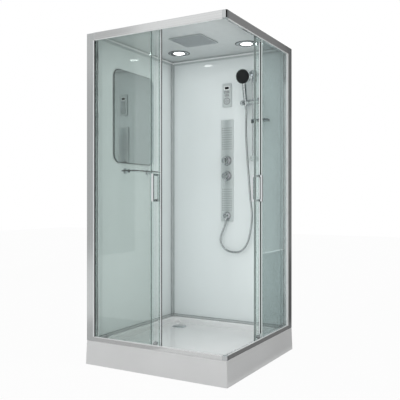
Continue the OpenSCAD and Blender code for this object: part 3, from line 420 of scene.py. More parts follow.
def litLens():  # frosted polycarbonate before a lit lamp: brightest in the middle, a coarse frost
    material, tree, place = patternedMaterial("frostedLampLens")
    split = addNode(tree, "ShaderNodeSeparateXYZ", links={"Vector": place})
    across = addNode(tree, "ShaderNodeMath", {".operation": "ABSOLUTE"}, {0: split.outputs["X"]})
    off = addNode(tree, "ShaderNodeMath", {".operation": "SUBTRACT", 1: downlights["out"] * mm}, {0: across})
    deep = addNode(tree, "ShaderNodeMath", {".operation": "SUBTRACT", 1: downlights["back"] * mm},
                   {0: split.outputs["Y"]})
    flat = addNode(tree, "ShaderNodeCombineXYZ", links={"X": off, "Y": deep})
    reach = addNode(tree, "ShaderNodeVectorMath", {".operation": "LENGTH"}, {0: flat}).outputs["Value"]
    fading = {"From Min": 30 * mm, "From Max": 41 * mm, "To Min": 9.0, "To Max": 0.22}
    glow = addNode(tree, "ShaderNodeMapRange", fading, {"Value": reach})
    relief = rippled(tree, place, 3.3, 0.3, 0.2)
    shader = addNode(tree, "ShaderNodeBsdfPrincipled",
                     {"Base Color": toLinear("#f4f6f6"), "Roughness": 0.35, "IOR": 1.58,
                      "Emission Color": toLinear("#ffffff")}, {"Emission Strength": glow, "Normal": relief})
    addNode(tree, "ShaderNodeOutputMaterial", links={"Surface": shader})
    return material


def silvering():  # silvered float glass: a clean mirror, its bevel and edges dark green: the glass edge's green, darkened as painted shade for its dark outline
    material, tree = newMaterial("silveredMirror")
    coords = addNode(tree, "ShaderNodeTexCoord")
    rough = uneven(tree, coords.outputs["Object"], 170, 0.004, 0.02, 0.4, 0.9)
    lean = addNode(tree, "ShaderNodeSeparateXYZ", links={"Vector": coords.outputs["Normal"]}).outputs["X"]
    facing = addNode(tree, "ShaderNodeMath", {".operation": "ABSOLUTE"}, {0: lean})
    # faces that do not face the room are painted dark: painted shade round the mirror
    tone = addNode(tree, "ShaderNodeValToRGB", {".stops": [(0.85, "#2c3f3d"), (0.95, "#c8cccd")]},
                   {"Fac": facing})
    shader = addNode(tree, "ShaderNodeBsdfPrincipled", {"Metallic": 1.0},
                     {"Base Color": tone, "Roughness": rough})
    addNode(tree, "ShaderNodeOutputMaterial", links={"Surface": shader})
    return material


# silver-lacquered sheet: satin with metal flakes, drawn coarser than real, and a tone from its middle to its
# edges: on the column a painted shade down the middle
def silverLacquer(name, edgeTone, middleTone, reach):
    material, tree, place = patternedMaterial(name)
    across = addNode(tree, "ShaderNodeSeparateXYZ", links={"Vector": place}).outputs["X"]
    off = addNode(tree, "ShaderNodeMath", {".operation": "SUBTRACT", 1: column["middle"] * mm}, {0: across})
    away = addNode(tree, "ShaderNodeMath", {".operation": "ABSOLUTE"}, {0: off})
    share = addNode(tree, "ShaderNodeMath", {".operation": "DIVIDE", 1: reach * mm}, {0: away})
    tone = addNode(tree, "ShaderNodeValToRGB", {".stops": [(0.1, middleTone), (0.9, edgeTone)]},
                   {"Fac": share})
    flake = addNode(tree, "ShaderNodeTexNoise", {"Scale": scaleOf(1.1)}, {"Vector": place})
    rough = addNode(tree, "ShaderNodeMapRange", {"To Min": 0.22, "To Max": 0.36}, {"Value": flake})
    relief = addNode(tree, "ShaderNodeBump", {"Strength": 0.1, "Distance": 0.05 * mm}, {"Height": flake})
    shader = addNode(tree, "ShaderNodeBsdfPrincipled", {"Metallic": 0.35},
                     {"Base Color": tone, "Roughness": rough, "Normal": relief})
    addNode(tree, "ShaderNodeOutputMaterial", links={"Surface": shader})
    return material


# sand-cast brass: warm and grainy behind the wall; before this depth are the chrome-plated rosettes
def castBrass(platedTo=460.5):
    material, tree, place = patternedMaterial("castValveBrass")
    depth = addNode(tree, "ShaderNodeSeparateXYZ", links={"Vector": place}).outputs["Y"]
    plated = addNode(tree, "ShaderNodeMath", {".operation": "LESS_THAN", 1: platedTo * mm}, {0: depth})
    brass = clouded(tree, place, 33, [(0.3, "#a88f4e"), (0.7, "#c0a763")])
    tone = addNode(tree, "ShaderNodeMix", {".data_type": "RGBA", 7: toLinear("#d4d7d9")},
                   {0: plated, 6: brass})
    rough = addNode(tree, "ShaderNodeMapRange", {"To Min": 0.34, "To Max": 0.06}, {"Value": plated})
    relief = rippled(tree, place, 2.5, 0.2, 0.1)
    shader = addNode(tree, "ShaderNodeBsdfPrincipled", {"Metallic": 1.0},
                     {"Base Color": tone.outputs[2], "Roughness": rough, "Normal": relief})
    addNode(tree, "ShaderNodeOutputMaterial", links={"Surface": shader})
    return material


def smokedAcrylic():  # injection-moulded acrylic with a grey dye: glossy, half see-through
    material, tree, place = patternedMaterial("smokedAcrylic")
    rough = uneven(tree, place, 20, 0.04, 0.11)
    dish = addNode(tree, "ShaderNodeBsdfPrincipled",
                   {"Base Color": toLinear("#56646a"), "IOR": 1.49, "Transmission Weight": 0.6},
                   {"Roughness": rough})
    throughLamps(tree, dish, "#9aa6a5")
    return material


acrylic = castAcrylic()
chrome = platedChrome("platedChrome", "#d4d7d9", 0.045)
lampChrome = platedChrome("lampRingChrome", "#b0b5b7", 0.08)
jointMetal = platedChrome("satinJointMetal", "#c0c3c4", 0.10)
alongZ = drawnAluminium("anodisedUpright", "z", "#ccd0d0", "#d6d8d8", 0.16)
alongX = drawnAluminium("anodisedRailX", "x", "#d0d2d2", "#d9dada", 0.12)
alongY = drawnAluminium("anodisedRailY", "y", "#d0d2d2", "#d9dada", 0.12)
blackNylon = mouldedPlastic("blackNylon", "#131416", "#1b1c1f", 0.45)  # dull black, for feet and small keys
wheelNylon = mouldedPlastic("wheelNylon", "#a4a8a9", "#aeb2b3", 0.40)
sprayPlastic = mouldedPlastic("sprayFaceBlack", "#07080a", "#0c0d10", 0.42)
sprayRubber = mouldedPlastic("sprayNozzleRubber", "#1b1d20", "#232529", 0.55)
silicone = mouldedPlastic("jetSilicone", "#44484a", "#4d5153", 0.55)  # soft grey nozzle mats
rainRubber = mouldedPlastic("rainNozzleSilicone", "#9ba1a4", "#a5abae", 0.50)
postLacquer = mouldedPlastic("greyPostLacquer", "#a6acac", "#aeb4b4", 0.34)  # satin lacquer, no metal shine
# dark rubber: the knob sleeves and gaskets, also used for rings and strips of painted shade
darkRubberAndShade = mouldedPlastic("sealRubberAndShade", "#1d2021", "#26292a", 0.60)
greySealant = mouldedPlastic("greySealant", "#6d7575", "#757d7d", 0.50)  # a dull silicone bead
# white PVC: the glazing beads and display frame, and also strips of painted highlight
whiteVinylHighlight = mouldedPlastic("whiteGlazingVinylAndHighlight", "#f0f2f2", "#f7f9f9", 0.30)
ceilingPlastic = mouldedPlastic("formedCeiling", "#c6cbcb", "#ccd1d1", 0.30, 2.0)  # coarser orange peel
keyPlastic = mouldedPlastic("silverKeys", "#b8bdbe", "#c0c5c6", 0.28)  # silver-painted keys
inkAndGapShade = mouldedPlastic("keyMarks", "#1d2022", "#25282a", 0.50)  # printed ink, and shade in gaps
displayGlass = mouldedPlastic("displayBlack", "#0a0c0e", "#0f1214", 0.09, 1.1, 0.02)  # smooth and glossy
drainPlastic = mouldedPlastic("drainGrey", "#54585c", "#5d6165", 0.40)
pipePlastic = mouldedPlastic("waterPipe", "#c9c9c4", "#d3d3ce", 0.35)
glassFront = floatGlass("floatGlassFront", "Y", "#f1f6f4", "#b3c9c4")
glassSide = floatGlass("floatGlassSide", "X", "#eef7f5", "#b3c9c4")
glassShelf = floatGlass("floatGlassShelf", "Z", "#a9bab6", "#060d0b")
# the side pane's slightly darker tint is painted shade
glassPair = fixedPaneGlass("#e2e7e5", "#dee5e6", "#a3b7b4")
paintedGlass = backPaintedGlass()
# white and pale lines are painted highlight, the green-grey one painted shade, the darkest ones the magnet
# strip and pane edge drawn dark with painted shadow
paneSeal = softVinyl("paneSealVinyl", [("#0f1414", 474, 480.5, 10, 16), ("#f2f5f5", 466.5, 474, 10, 16),
                                      ("#dfe6e5", 481.5, 489, 10, 16)])
doorSeal = softVinyl("doorSealVinyl", [("#0f1414", 43.8, 51, -470, -440), ("#f2f5f5", 37.5, 43.8, -470, -440),
                                       ("#37504c", 440, 465.6, -51, -42), ("#e4ebe9", 465.6, 470, -51, -44)])
# the column's darker middle tone is painted shade
columnMetal = silverLacquer("columnLacquer", "#cdd3d3", "#b4bcbc", 49)
panelMetal = silverLacquer("panelLacquer", "#c8cece", "#cbd1d1", 37)

finishes = [
    (acrylic, ["tray"]), (zincSteel(), ["support_frame"]), (blackNylon, ["levelling_feet", "slider_button"]),
    (drainPlastic, ["waste_trap"]), (pipePlastic, ["rain_pipe"]), (postLacquer, ["rear_corner_post"]),
    (alongZ, ["wall_posts"]), (alongX, ["front_top_rail", "bottom_rails"]), (alongY, ["side_top_rail"]),
    (trimProfile(), ["wall_trims"]), (jointMetal, ["corner_joints"]), (lampChrome, ["downlight_housings"]),
    (chrome, ["front_door_handle", "side_door_handle", "front_door_axles", "side_door_axles", "waste_cover",
              "shelf_holders", "diverter_knob", "mixer_lever", "hose_outlet", "slide_bar", "slider",
              "shower_holder", "hand_shower"]),
    (paintedGlass, ["left_wall_panel", "back_wall_panel"]), (glassFront, ["front_door_glass"]),
    (glassSide, ["side_door_glass"]), (glassPair, ["fixed_panes"]), (glassShelf, ["glass_shelf"]),
    (paneSeal, ["fixed_pane_seals"]), (doorSeal, ["front_door_seal", "side_door_seal"]),
    (ceilingPlastic, ["roof_panel"]), (rainPlateSteel(), ["rain_shower"]), (litLens(), ["downlight_lenses"]),
    (silvering(), ["wall_mirror"]), (columnMetal, ["column_plate"]), (panelMetal, ["control_panel"]),
    (displayGlass, ["display_window"]), (silicone, ["jet_mats"]), (castBrass(), ["mixing_valve"]),
    (keyPlastic, ["button_left", "button_right", "button_wide", "nav_pad"]), (sprayPlastic, ["spray_face"]),
    (smokedAcrylic(), ["soap_dish"]),
    (wheelNylon, [f"{side}_wheel_{place}" for side in ("front", "side")
                  for place in ("top_lead", "top_trail", "low_lead", "low_trail")]),
]
finishOf = {node: material for material, owned in finishes for node in owned}
for node, material in finishOf.items():
    mesh = nodes[node].data
    mesh.materials.clear()
    mesh.materials.append(material)
print("materials given")


def offMiddle(p, reach, low, high):  # outside a rectangle on the column's middle
    return abs(p.x - column["middle"]) > reach or p.z < low or p.z > high


# softened copies of CAD nodes: (width in mm, segments, which edges, by the middle of the edge in mm)
softEdges = {
    "tray": [(8, 6, lambda p: p.z > 149 and max(abs(p.x), abs(p.y)) < 490),
             (24, 8, lambda p: abs(p.z - 65) < 1 and (p - Vector(waste)).length > 80
              and max(abs(p.x), abs(p.y)) > 300),
             (4, 4, lambda p: p.z > 10 and max(abs(p.x), abs(p.y)) > 498)],
    "front_top_rail": [(1.6, 3, lambda p: p.y < -499.5)],
    "side_top_rail": [(1.6, 3, lambda p: p.x > 499.5)],
    "bottom_rails": [(1.6, 3, lambda p: p.y < -499.5 or p.x > 499.5)],
    "wall_posts": [(1.6, 3, lambda p: max(abs(p.x), abs(p.y)) > 499.5)],
    "rear_corner_post": [(5, 5, lambda p: p.x > -459 and p.y < 459 and abs(p.x + p.y) < 12)],
    "corner_joints": [(6.5, 1, lambda p: p.x > 499.5 and p.y < -499.5),
                      (0.8, 2, lambda p: p.x < 499.5 and p.y > -499.5 or p.z > 2099 or abs(p.z - 175) < 1)],
    "waste_cover": [(0.9, 3, lambda p: p.z > 64)],
    "downlight_housings": [(1.0, 3, lambda p: p.z < 2109)],
    "wall_mirror": [(4.0, 1, lambda p: p.x > -459.5)],
    "control_panel": [(2.2, 3, lambda p: p.y < 458.5 and offMiddle(p, 28, 1740, 1890))],
    "column_plate": [(1.4, 3, lambda p: p.y < 460.5 and offMiddle(p, 44, 892, 1625))],
    "mixing_valve": [(1.4, 3, lambda p: 448 < p.y < 460.5)],
    "diverter_knob": [(1.2, 3, lambda p: p.y < 451)],
    "mixer_lever": [(1.2, 3, lambda p: p.y < 451)],
    "hose_outlet": [(1.2, 3, lambda p: p.y < 459)],
    "slide_bar": [(1.2, 3, lambda p: p.y < 469)],
    "slider": [(1.6, 3, lambda p: p.x > 215)],
    "shower_holder": [],
    "hand_shower": [(1.2, 3, lambda p: p.z > 1775)],
    "soap_dish": [(1.0, 2, lambda p: p.z > 1600)],
}
roundedAllOver = {  # every sharp edge: (width in mm, segments)
    "front_door_handle": (2.6, 4), "side_door_handle": (2.6, 4), "glass_shelf": (1.2, 2), "nav_pad": (1.1, 3),
    "shelf_holders": (1.2, 3), "button_left": (1.0, 3), "button_right": (1.0, 3), "button_wide": (1.0, 3),
    "slider_button": (1.0, 3), "spray_face": (0.8, 2),
}
for node, (width, segments) in roundedAllOver.items():
    softEdges[node] = [(width, segments, lambda p: True)]


def softCopy(node, rounds):
    bm = bmesh.new()
    bm.from_mesh(nodes[node].data)
    bmesh.ops.remove_doubles(bm, verts=bm.verts, dist=0.02 * mm)
    bmesh.ops.dissolve_limit(bm, angle_limit=radians(0.4), verts=bm.verts, edges=bm.edges)
    sharp = [e for e in bm.edges if len(e.link_faces) == 2 and e.calc_face_angle(0) > radians(32)]
    middles = {e: (e.verts[0].co + e.verts[1].co) / 2 / mm for e in sharp}
    chosen = [[e for e in sharp if wanted(middles[e])] for width, segments, wanted in rounds]
    for (width, segments, wanted), edges in zip(rounds, chosen):
        bmesh.ops.bevel(bm, geom=[e for e in edges if e.is_valid], offset=width * mm, offset_type="OFFSET",
                        segments=segments, profile=0.5, affect="EDGES", clamp_overlap=True)
    words = node.split("_")
    name = words[0] + "".join(word.title() for word in words[1:]) + "Soft"
    mesh = meshFrom(bm, node + "Soft", outwards=False)
    piece = finishPiece(name, mesh, finishOf[node], bodyOf[node], slotOf[node], node, smooth=True)
    mesh.set_sharp_from_angle(angle=radians(38))
    even = piece.modifiers.new("evenShading", "WEIGHTED_NORMAL")
    even.keep_sharp = True


for node, rounds in softEdges.items():
    softCopy(node, rounds)
print("edges softened on", len(softEdges), "nodes")


# geometry nodes: a tree gets named inputs, then meshes are grown from it
def startTree(name, inputs):
    tree = bpy.data.node_groups.new(name, "GeometryNodeTree")
    tree.interface.new_socket("Geometry", in_out="OUTPUT", socket_type="NodeSocketGeometry")
    for label, kind in inputs.items():
        tree.interface.new_socket(label, in_out="INPUT", socket_type="NodeSocket" + kind)
    return tree, addNode(tree, "NodeGroupInput").outputs


def closeTree(tree, geometry, material):
    real = addNode(tree, "GeometryNodeRealizeInstances", links={"Geometry": geometry})
    painted = addNode(tree, "GeometryNodeSetMaterial", links={"Geometry": real, "Material": material})
    addNode(tree, "NodeGroupOutput", links={"Geometry": painted})
    return tree


def growMesh(name, tree, values, place=None):
    holder = bpy.data.objects.new(name, bpy.data.meshes.new(name))
    scene.collection.objects.link(holder)
    modifier = holder.modifiers.new("grow", "NODES")
    modifier.node_group = tree
    for item in tree.interface.items_tree:
        if item.in_out == "INPUT":
            modifier[item.identifier] = values[item.name]
    depsgraph = bpy.context.evaluated_depsgraph_get()
    mesh = bpy.data.meshes.new_from_object(holder.evaluated_get(depsgraph), depsgraph=depsgraph)
    bpy.data.objects.remove(holder)
    if place is not None:
        mesh.transform(place)
    return mesh


coneInputs = {"Foot Radius": "Float", "Tip Radius": "Float", "Height": "Float", "Sides": "Int",
              "Material": "Material"}


def conesOn(tree, given, points):  # sets the nozzle, a small cone, on each point
    cone = addNode(tree, "GeometryNodeMeshCone",
                   links={"Vertices": given["Sides"], "Radius Top": given["Tip Radius"],
                          "Radius Bottom": given["Foot Radius"], "Depth": given["Height"]})
    spread = addNode(tree, "GeometryNodeInstanceOnPoints", links={"Points": points, "Instance": cone})
    return closeTree(tree, spread, given["Material"])


def nozzleGridTree():  # small cones on a grid, their tips towards +Z
    tree, given = startTree("nozzleGrid", {"Width": "Float", "Length": "Float", "Across": "Int",
                                           "Along": "Int", **coneInputs})
    grid = addNode(tree, "GeometryNodeMeshGrid",
                   links={"Size X": given["Width"], "Size Y": given["Length"],
                          "Vertices X": given["Across"], "Vertices Y": given["Along"]})
    return conesOn(tree, given, grid)


def nozzleRingsTree(rings):  # cones in rings, six more in each ring outwards
    tree, given = startTree("nozzleRings", {"Ring Step": "Float", **coneInputs})
    joined = addNode(tree, "GeometryNodeJoinGeometry")
    for ring in range(1, rings + 1):
        reach = addNode(tree, "ShaderNodeMath", {".operation": "MULTIPLY", 1: float(ring)},
                        {0: given["Ring Step"]})
        circle = addNode(tree, "GeometryNodeMeshCircle", {"Vertices": 6 * ring}, {"Radius": reach})
        tree.links.new(circle.outputs[0], joined.inputs[0])
    return conesOn(tree, given, joined)


def gripRibsTree():  # straight ribs round a sleeve whose axis is Z
    tree, given = startTree("gripRibs", {"Count": "Int", "Radius": "Float", "Rib Size": "Vector",
                                         "Material": "Material"})
    circle = addNode(tree, "GeometryNodeMeshCircle",
                     links={"Vertices": given["Count"], "Radius": given["Radius"]})
    rib = addNode(tree, "GeometryNodeMeshCube", links={"Size": given["Rib Size"]})
    place = addNode(tree, "GeometryNodeInputPosition")
    turn = addNode(tree, "FunctionNodeAlignRotationToVector", {".axis": "X"}, {"Vector": place})
    spread = addNode(tree, "GeometryNodeInstanceOnPoints",
                     links={"Points": circle, "Instance": rib, "Rotation": turn})
    return closeTree(tree, spread, given["Material"])


def partRowTree():  # one part repeated along a straight row
    tree, given = startTree("rowOfParts", {"Start": "Vector", "Step": "Vector", "Count": "Int",
                                           "Turn": "Rotation", "Part": "Object", "Material": "Material"})
    line = addNode(tree, "GeometryNodeMeshLine",
                   links={"Count": given["Count"], "Start Location": given["Start"], "Offset": given["Step"]})
    part = addNode(tree, "GeometryNodeObjectInfo", links={"Object": given["Part"]})
    spread = addNode(tree, "GeometryNodeInstanceOnPoints",
                     links={"Points": line, "Instance": part.outputs["Geometry"], "Rotation": given["Turn"]})
    return closeTree(tree, spread, given["Material"])


def beadTree():  # a flat strip along a straight line
    tree, given = startTree("bead", {"Start": "Vector", "End": "Vector", "Width": "Float", "Height": "Float",
                                     "Material": "Material"})
    line = addNode(tree, "GeometryNodeCurvePrimitiveLine",
                   links={"Start": given["Start"], "End": given["End"]})
    section = addNode(tree, "GeometryNodeCurvePrimitiveQuadrilateral",
                      links={"Width": given["Width"], "Height": given["Height"]})
    swept = addNode(tree, "GeometryNodeCurveToMesh", {"Fill Caps": True},
                    {"Curve": line, "Profile Curve": section})
    return closeTree(tree, swept, given["Material"])


def joinMeshes(name, meshes):
    bm = bmesh.new()
    for mesh in meshes:
        bm.from_mesh(mesh)
        bpy.data.meshes.remove(mesh)
    return meshFrom(bm, name, outwards=False)


def turnedMesh(name, section, places, sides=64, turn=None):  # section: closed loop of (radius, height) in mm
    bm = bmesh.new()
    turns = [2 * pi * k / sides for k in range(sides)]
    for place in places:
        move = Matrix.Translation(Vector(place) * mm) @ (turn or Matrix.Identity(4))
        rings = [[bm.verts.new(move @ (Vector((r * cos(a), r * sin(a), h)) * mm)) for a in turns]
                 for r, h in section]
        for i in range(len(rings)):
            one, other = rings[i], rings[(i + 1) % len(rings)]
            for k in range(sides):
                n = (k + 1) % sides
                bm.faces.new((one[k], one[n], other[n], other[k]))
    return meshFrom(bm, name)


def slabMesh(name, outlines, low, high):  # flat shapes in the XZ plane, in mm
    bm = bmesh.new()
    for outline in outlines:
        ends = []
        for level in (low, high):
            ends.append([bm.verts.new(Vector((a, level, b)) * mm) for a, b in outline])
        bm.faces.new(ends[0])
        bm.faces.new(list(reversed(ends[1])))
        for i in range(len(outline)):
            n = (i + 1) % len(outline)
            bm.faces.new((ends[0][i], ends[1][i], ends[1][n], ends[0][n]))
    return meshFrom(bm, name)


def washer(inner, outer, low, high):  # the section of a flat ring
    return [(inner, low), (outer, low), (outer, high), (inner, high)]


def bar(x, z, wide, tall):
    return [(x + a * wide / 2, z + b * tall / 2) for a, b in ((-1, -1), (1, -1), (1, 1), (-1, 1))]


def border(x, z, wide, tall, line):  # four bars round a rectangle
    over, beside = (tall + line) / 2, (wide + line) / 2
    return [bar(x, z + over, wide + 2 * line, line), bar(x, z - over, wide + 2 * line, line),
            bar(x - beside, z, line, tall), bar(x + beside, z, line, tall)]


towardFront = Matrix.Rotation(radians(90), 4, "X")  # turns +Z to -Y
nozzleGrid, gripRibs, partRow, beadAlong = nozzleGridTree(), gripRibsTree(), partRowTree(), beadTree()

# rain shower: silicone nozzles 11.6 mm apart under the steel plate
rain = {"side": 0.220, "count": 20, "foot": 0.0028, "tip": 0.0016, "height": 0.0022, "sides": 10,
        "middle": (0, -0.005, 2.1015)}
mesh = growMesh("rainNozzles", nozzleGrid,
                {"Width": rain["side"], "Length": rain["side"], "Across": rain["count"],
                 "Along": rain["count"], "Foot Radius": rain["foot"], "Tip Radius": rain["tip"],
                 "Height": rain["height"], "Sides": rain["sides"], "Material": rainRubber},
                Matrix.Translation(rain["middle"]) @ Matrix.Rotation(pi, 4, "X"))
finishPiece("rainNozzles", mesh, rainRubber, "cabin", "nozzle_rubber")

# body jets: a dark collar round each nozzle of the two fields on the column
jets = {"pitch": 0.017, "columns": 5, "rows": 10, "fields": (0.969, 1.419), "foot": 0.0034, "tip": 0.0028,
        "height": 0.0009, "sides": 16}
meshes = []
for low in jets["fields"]:
    along = (jets["rows"] - 1) * jets["pitch"]
    place = Matrix.Translation((column["middle"] * mm, column["face"] * mm, low + along / 2)) @ towardFront
    meshes.append(growMesh("jetCollars", nozzleGrid,
                           {"Width": (jets["columns"] - 1) * jets["pitch"], "Length": along,
                            "Across": jets["columns"], "Along": jets["rows"], "Foot Radius": jets["foot"],
                            "Tip Radius": jets["tip"], "Height": jets["height"],
                            "Sides": jets["sides"], "Material": silicone}, place))
finishPiece("jetCollars", joinMeshes("jetCollars", meshes), silicone, "cabin", "nozzle_rubber")

# spray face of the hand shower: four rings of nozzles round a hub
spray = {"rings": 4, "step": 0.0105, "foot": 0.0020, "tip": 0.0011, "height": 0.0018, "sides": 10}
onHand = Matrix.Translation(Vector(hand["pivot"]) * mm) @ Matrix.Rotation(radians(hand["lean"]), 4, "X")
onFace = onHand @ Matrix.Translation(Vector(hand["face"]) * mm) @ towardFront
mesh = growMesh("sprayNozzles", nozzleRingsTree(spray["rings"]),
                {"Ring Step": spray["step"], "Foot Radius": spray["foot"], "Tip Radius": spray["tip"],
                 "Height": spray["height"], "Sides": spray["sides"], "Material": sprayRubber}, onFace)
finishPiece("sprayNozzles", mesh, sprayRubber, bodyOf["spray_face"], "nozzle_rubber")

# knobs: a ribbed rubber sleeve, and a dark gasket ring where the rosette meets the plate, its darkness
# painted shade in the joint
knobs = {"diverter_knob": ("diverter", 1332), "mixer_lever": ("mixer", 1220)}
sleeve = {"front": 424, "length": 18, "bore": 23.5, "radius": 24.35, "bevel": 0.5, "ribs": 44,
          "rib": (0.0011, 0.0013, 0.017)}
sleeveSection = [(sleeve["bore"], 0), (sleeve["radius"], sleeve["bevel"]),
                 (sleeve["radius"], sleeve["length"] - sleeve["bevel"]), (sleeve["bore"], sleeve["length"])]
for node, (word, high) in knobs.items():
    mesh = turnedMesh(word + "Sleeve", sleeveSection,
                      [(column["middle"], sleeve["front"] + sleeve["length"], high)], 64, towardFront)
    finishPiece(word + "Sleeve", mesh, darkRubberAndShade, bodyOf[node], "black_plastic")
    halfway = Vector((column["middle"], sleeve["front"] + sleeve["length"] / 2, high)) * mm
    mesh = growMesh(word + "Ribs", gripRibs,
                    {"Count": sleeve["ribs"], "Radius": (sleeve["radius"] + 0.1) * mm,
                     "Rib Size": Vector(sleeve["rib"]), "Material": chrome},
                    Matrix.Translation(halfway) @ towardFront)
    finishPiece(word + "Ribs", mesh, chrome, bodyOf[node], "chrome")
onPlate = [(column["middle"], column["face"], high) for word, high in knobs.values()]
outlet = (column["middle"], column["face"], 928)
atLamps = [(side * downlights["out"], downlights["back"], downlights["low"]) for side in (-1, 1)]
# dark rubber rings: gaskets in the joints at the rosettes, outlet, downlights and waste, drawn dark as
# painted shade there; the downlight grooves are painted shade in a groove
gaskets = {  # section in mm, places, turn
    "rosetteGaskets": (washer(33, 36.2, 0, 1.2), onPlate, towardFront),
    "outletGasket": (washer(26, 29.2, 0, 1.2), [outlet], towardFront),
    "downlightGaskets": (washer(72, 78, 0.5, -1.8), atLamps, None),
    "downlightGrooves": (washer(46.8, 51.4, -2.6, -4.6), atLamps, None),
    "wasteGasket": ([(51, -0.2), (55.5, -0.2), (55.0, 1.1), (51, 1.1)], [waste], None),
}
for name, (section, places, turn) in gaskets.items():
    mesh = turnedMesh(name, section, places, 72, turn)
    finishPiece(name, mesh, darkRubberAndShade, "cabin", "black_plastic")
besidePivot = Vector(hand["pivot"]) + Vector((33.1, 0, 0))
mesh = turnedMesh("swivelRing", washer(17, 19.5, 0, 1.8), [besidePivot], 48,
                  Matrix.Rotation(radians(90), 4, "Y"))
finishPiece("swivelRing", mesh, darkRubberAndShade, bodyOf["slider"], "black_plastic")
print("nozzles, ribs and gaskets made")

# control panel: frame round the display, painted shade in the gaps round the keys, printed marks on them
panel = {"face": 458.0, "keyFace": 456.4, "display": (34, 19, 1866), "frame": 4.0, "gap": 2.2,
         "keys": (1, 23), "keysHigh": 1836, "key": 12.6, "wideHigh": 1812, "wideKey": (26.6, 9.6),
         "padHigh": 1770, "arrowAt": 14.5, "arrow": 3.4, "stroke": 1.5}


# dark marks: printed ink on the keys and pad, and painted shade in the gaps round them
def markAndGapShade(name, mesh, body):
    finishPiece(name, mesh, inkAndGapShade, body, "display_black")


middle, keyHigh, wideHigh, padHigh = column["middle"], panel["keysHigh"], panel["wideHigh"], panel["padHigh"]
wide, tall, high = panel["display"]
frameBars = border(middle, high, wide, tall, panel["frame"])
mesh = slabMesh("displayFrame", frameBars, panel["face"] - 0.9, panel["face"] + 0.5)
finishPiece("displayFrame", mesh, whiteVinylHighlight, "cabin", "button_silver")
gaps = border(middle, wideHigh, *panel["wideKey"], panel["gap"])
for x in panel["keys"]:
    gaps += border(x, keyHigh, panel["key"], panel["key"], panel["gap"])
# painted shade in the gaps round the keys
markAndGapShade("keyGaps", slabMesh("keyGaps", gaps, panel["face"] - 0.35, panel["face"] + 0.3), "cabin")
markFront, markBack = panel["keyFace"] - 0.25, panel["keyFace"] + 0.3
left, right = panel["keys"]
stroke = panel["stroke"]
keyMarks = {
    "button_left": ("minusMark", [bar(left, keyHigh, 6.4, stroke)]),
    "button_right": ("plusMark", [bar(right, keyHigh, 6.4, stroke), bar(right, keyHigh + 2.3, stroke, 3.1),
                                  bar(right, keyHigh - 2.3, stroke, 3.1)]),
    "button_wide": ("wideMark", [bar(middle, wideHigh, 14, stroke)]),
}
for node, (name, outlines) in keyMarks.items():
    markAndGapShade(name, slabMesh(name, outlines, markFront, markBack), bodyOf[node])
arrows = []
for k in range(4):
    outward = Vector((cos(k * pi / 2), sin(k * pi / 2)))
    across = Vector((-outward.y, outward.x)) * panel["arrow"]
    foot = Vector((middle, padHigh)) + outward * (panel["arrowAt"] - panel["arrow"] / 2)
    arrows.append([tuple(foot - across), tuple(foot + across), tuple(foot + outward * panel["arrow"] * 1.5)])
markAndGapShade("padArrows", slabMesh("padArrows", arrows, markFront, markBack), bodyOf["nav_pad"])
markAndGapShade("padRing", turnedMesh("padRing", washer(6.8, 8.2, -0.3, 0.25), [(middle, panel["keyFace"], padHigh)],
                              48, towardFront), bodyOf["nav_pad"])
# painted shade in the gap round the pad
markAndGapShade("padGap", turnedMesh("padGap", washer(22.2, 25.2, -0.3, 0.35), [(middle, panel["face"], padHigh)],
                             64, towardFront), "cabin")
print("panel marked")

# strips: white glazing vinyl round both openings, made white as painted highlight where the rail lips catch
# light; on the front post a dark strip of painted shadow in the seam and a white strip of painted highlight
# on its edge; white strips of painted highlight under the ceiling; grey sealant along the tray
glazed = {"low": 174.6, "high": 2055.4, "bead": 3.6, "outside": 499.0, "inside": 489.2, "joint": 470,
          "post": 440}
walls = {"trim": 454.4, "panel": 460.0, "end": 452, "corner": 455}
lowBead = (glazed["low"], glazed["low"] + glazed["bead"])
highBead = (glazed["high"] - glazed["bead"], glazed["high"])
between = (lowBead[1], highBead[0])
frontDepth, sideDepth = (-glazed["outside"], -glazed["inside"]), (glazed["inside"], glazed["outside"])
frontRun, sideRun = (-glazed["post"], glazed["joint"]), (-glazed["joint"], glazed["post"])
backRun, leftRun = (-walls["corner"], walls["end"]), (-walls["end"], walls["end"])
ceilingHighlightRise, lowSeal, highSeal = (2091.0, 2100.2), (149.8, 151.8), (165.0, 166.4)
vinyl, rubber = (whiteVinylHighlight, "clear_seal"), (darkRubberAndShade, "black_plastic")
sealant = (greySealant, "black_plastic")
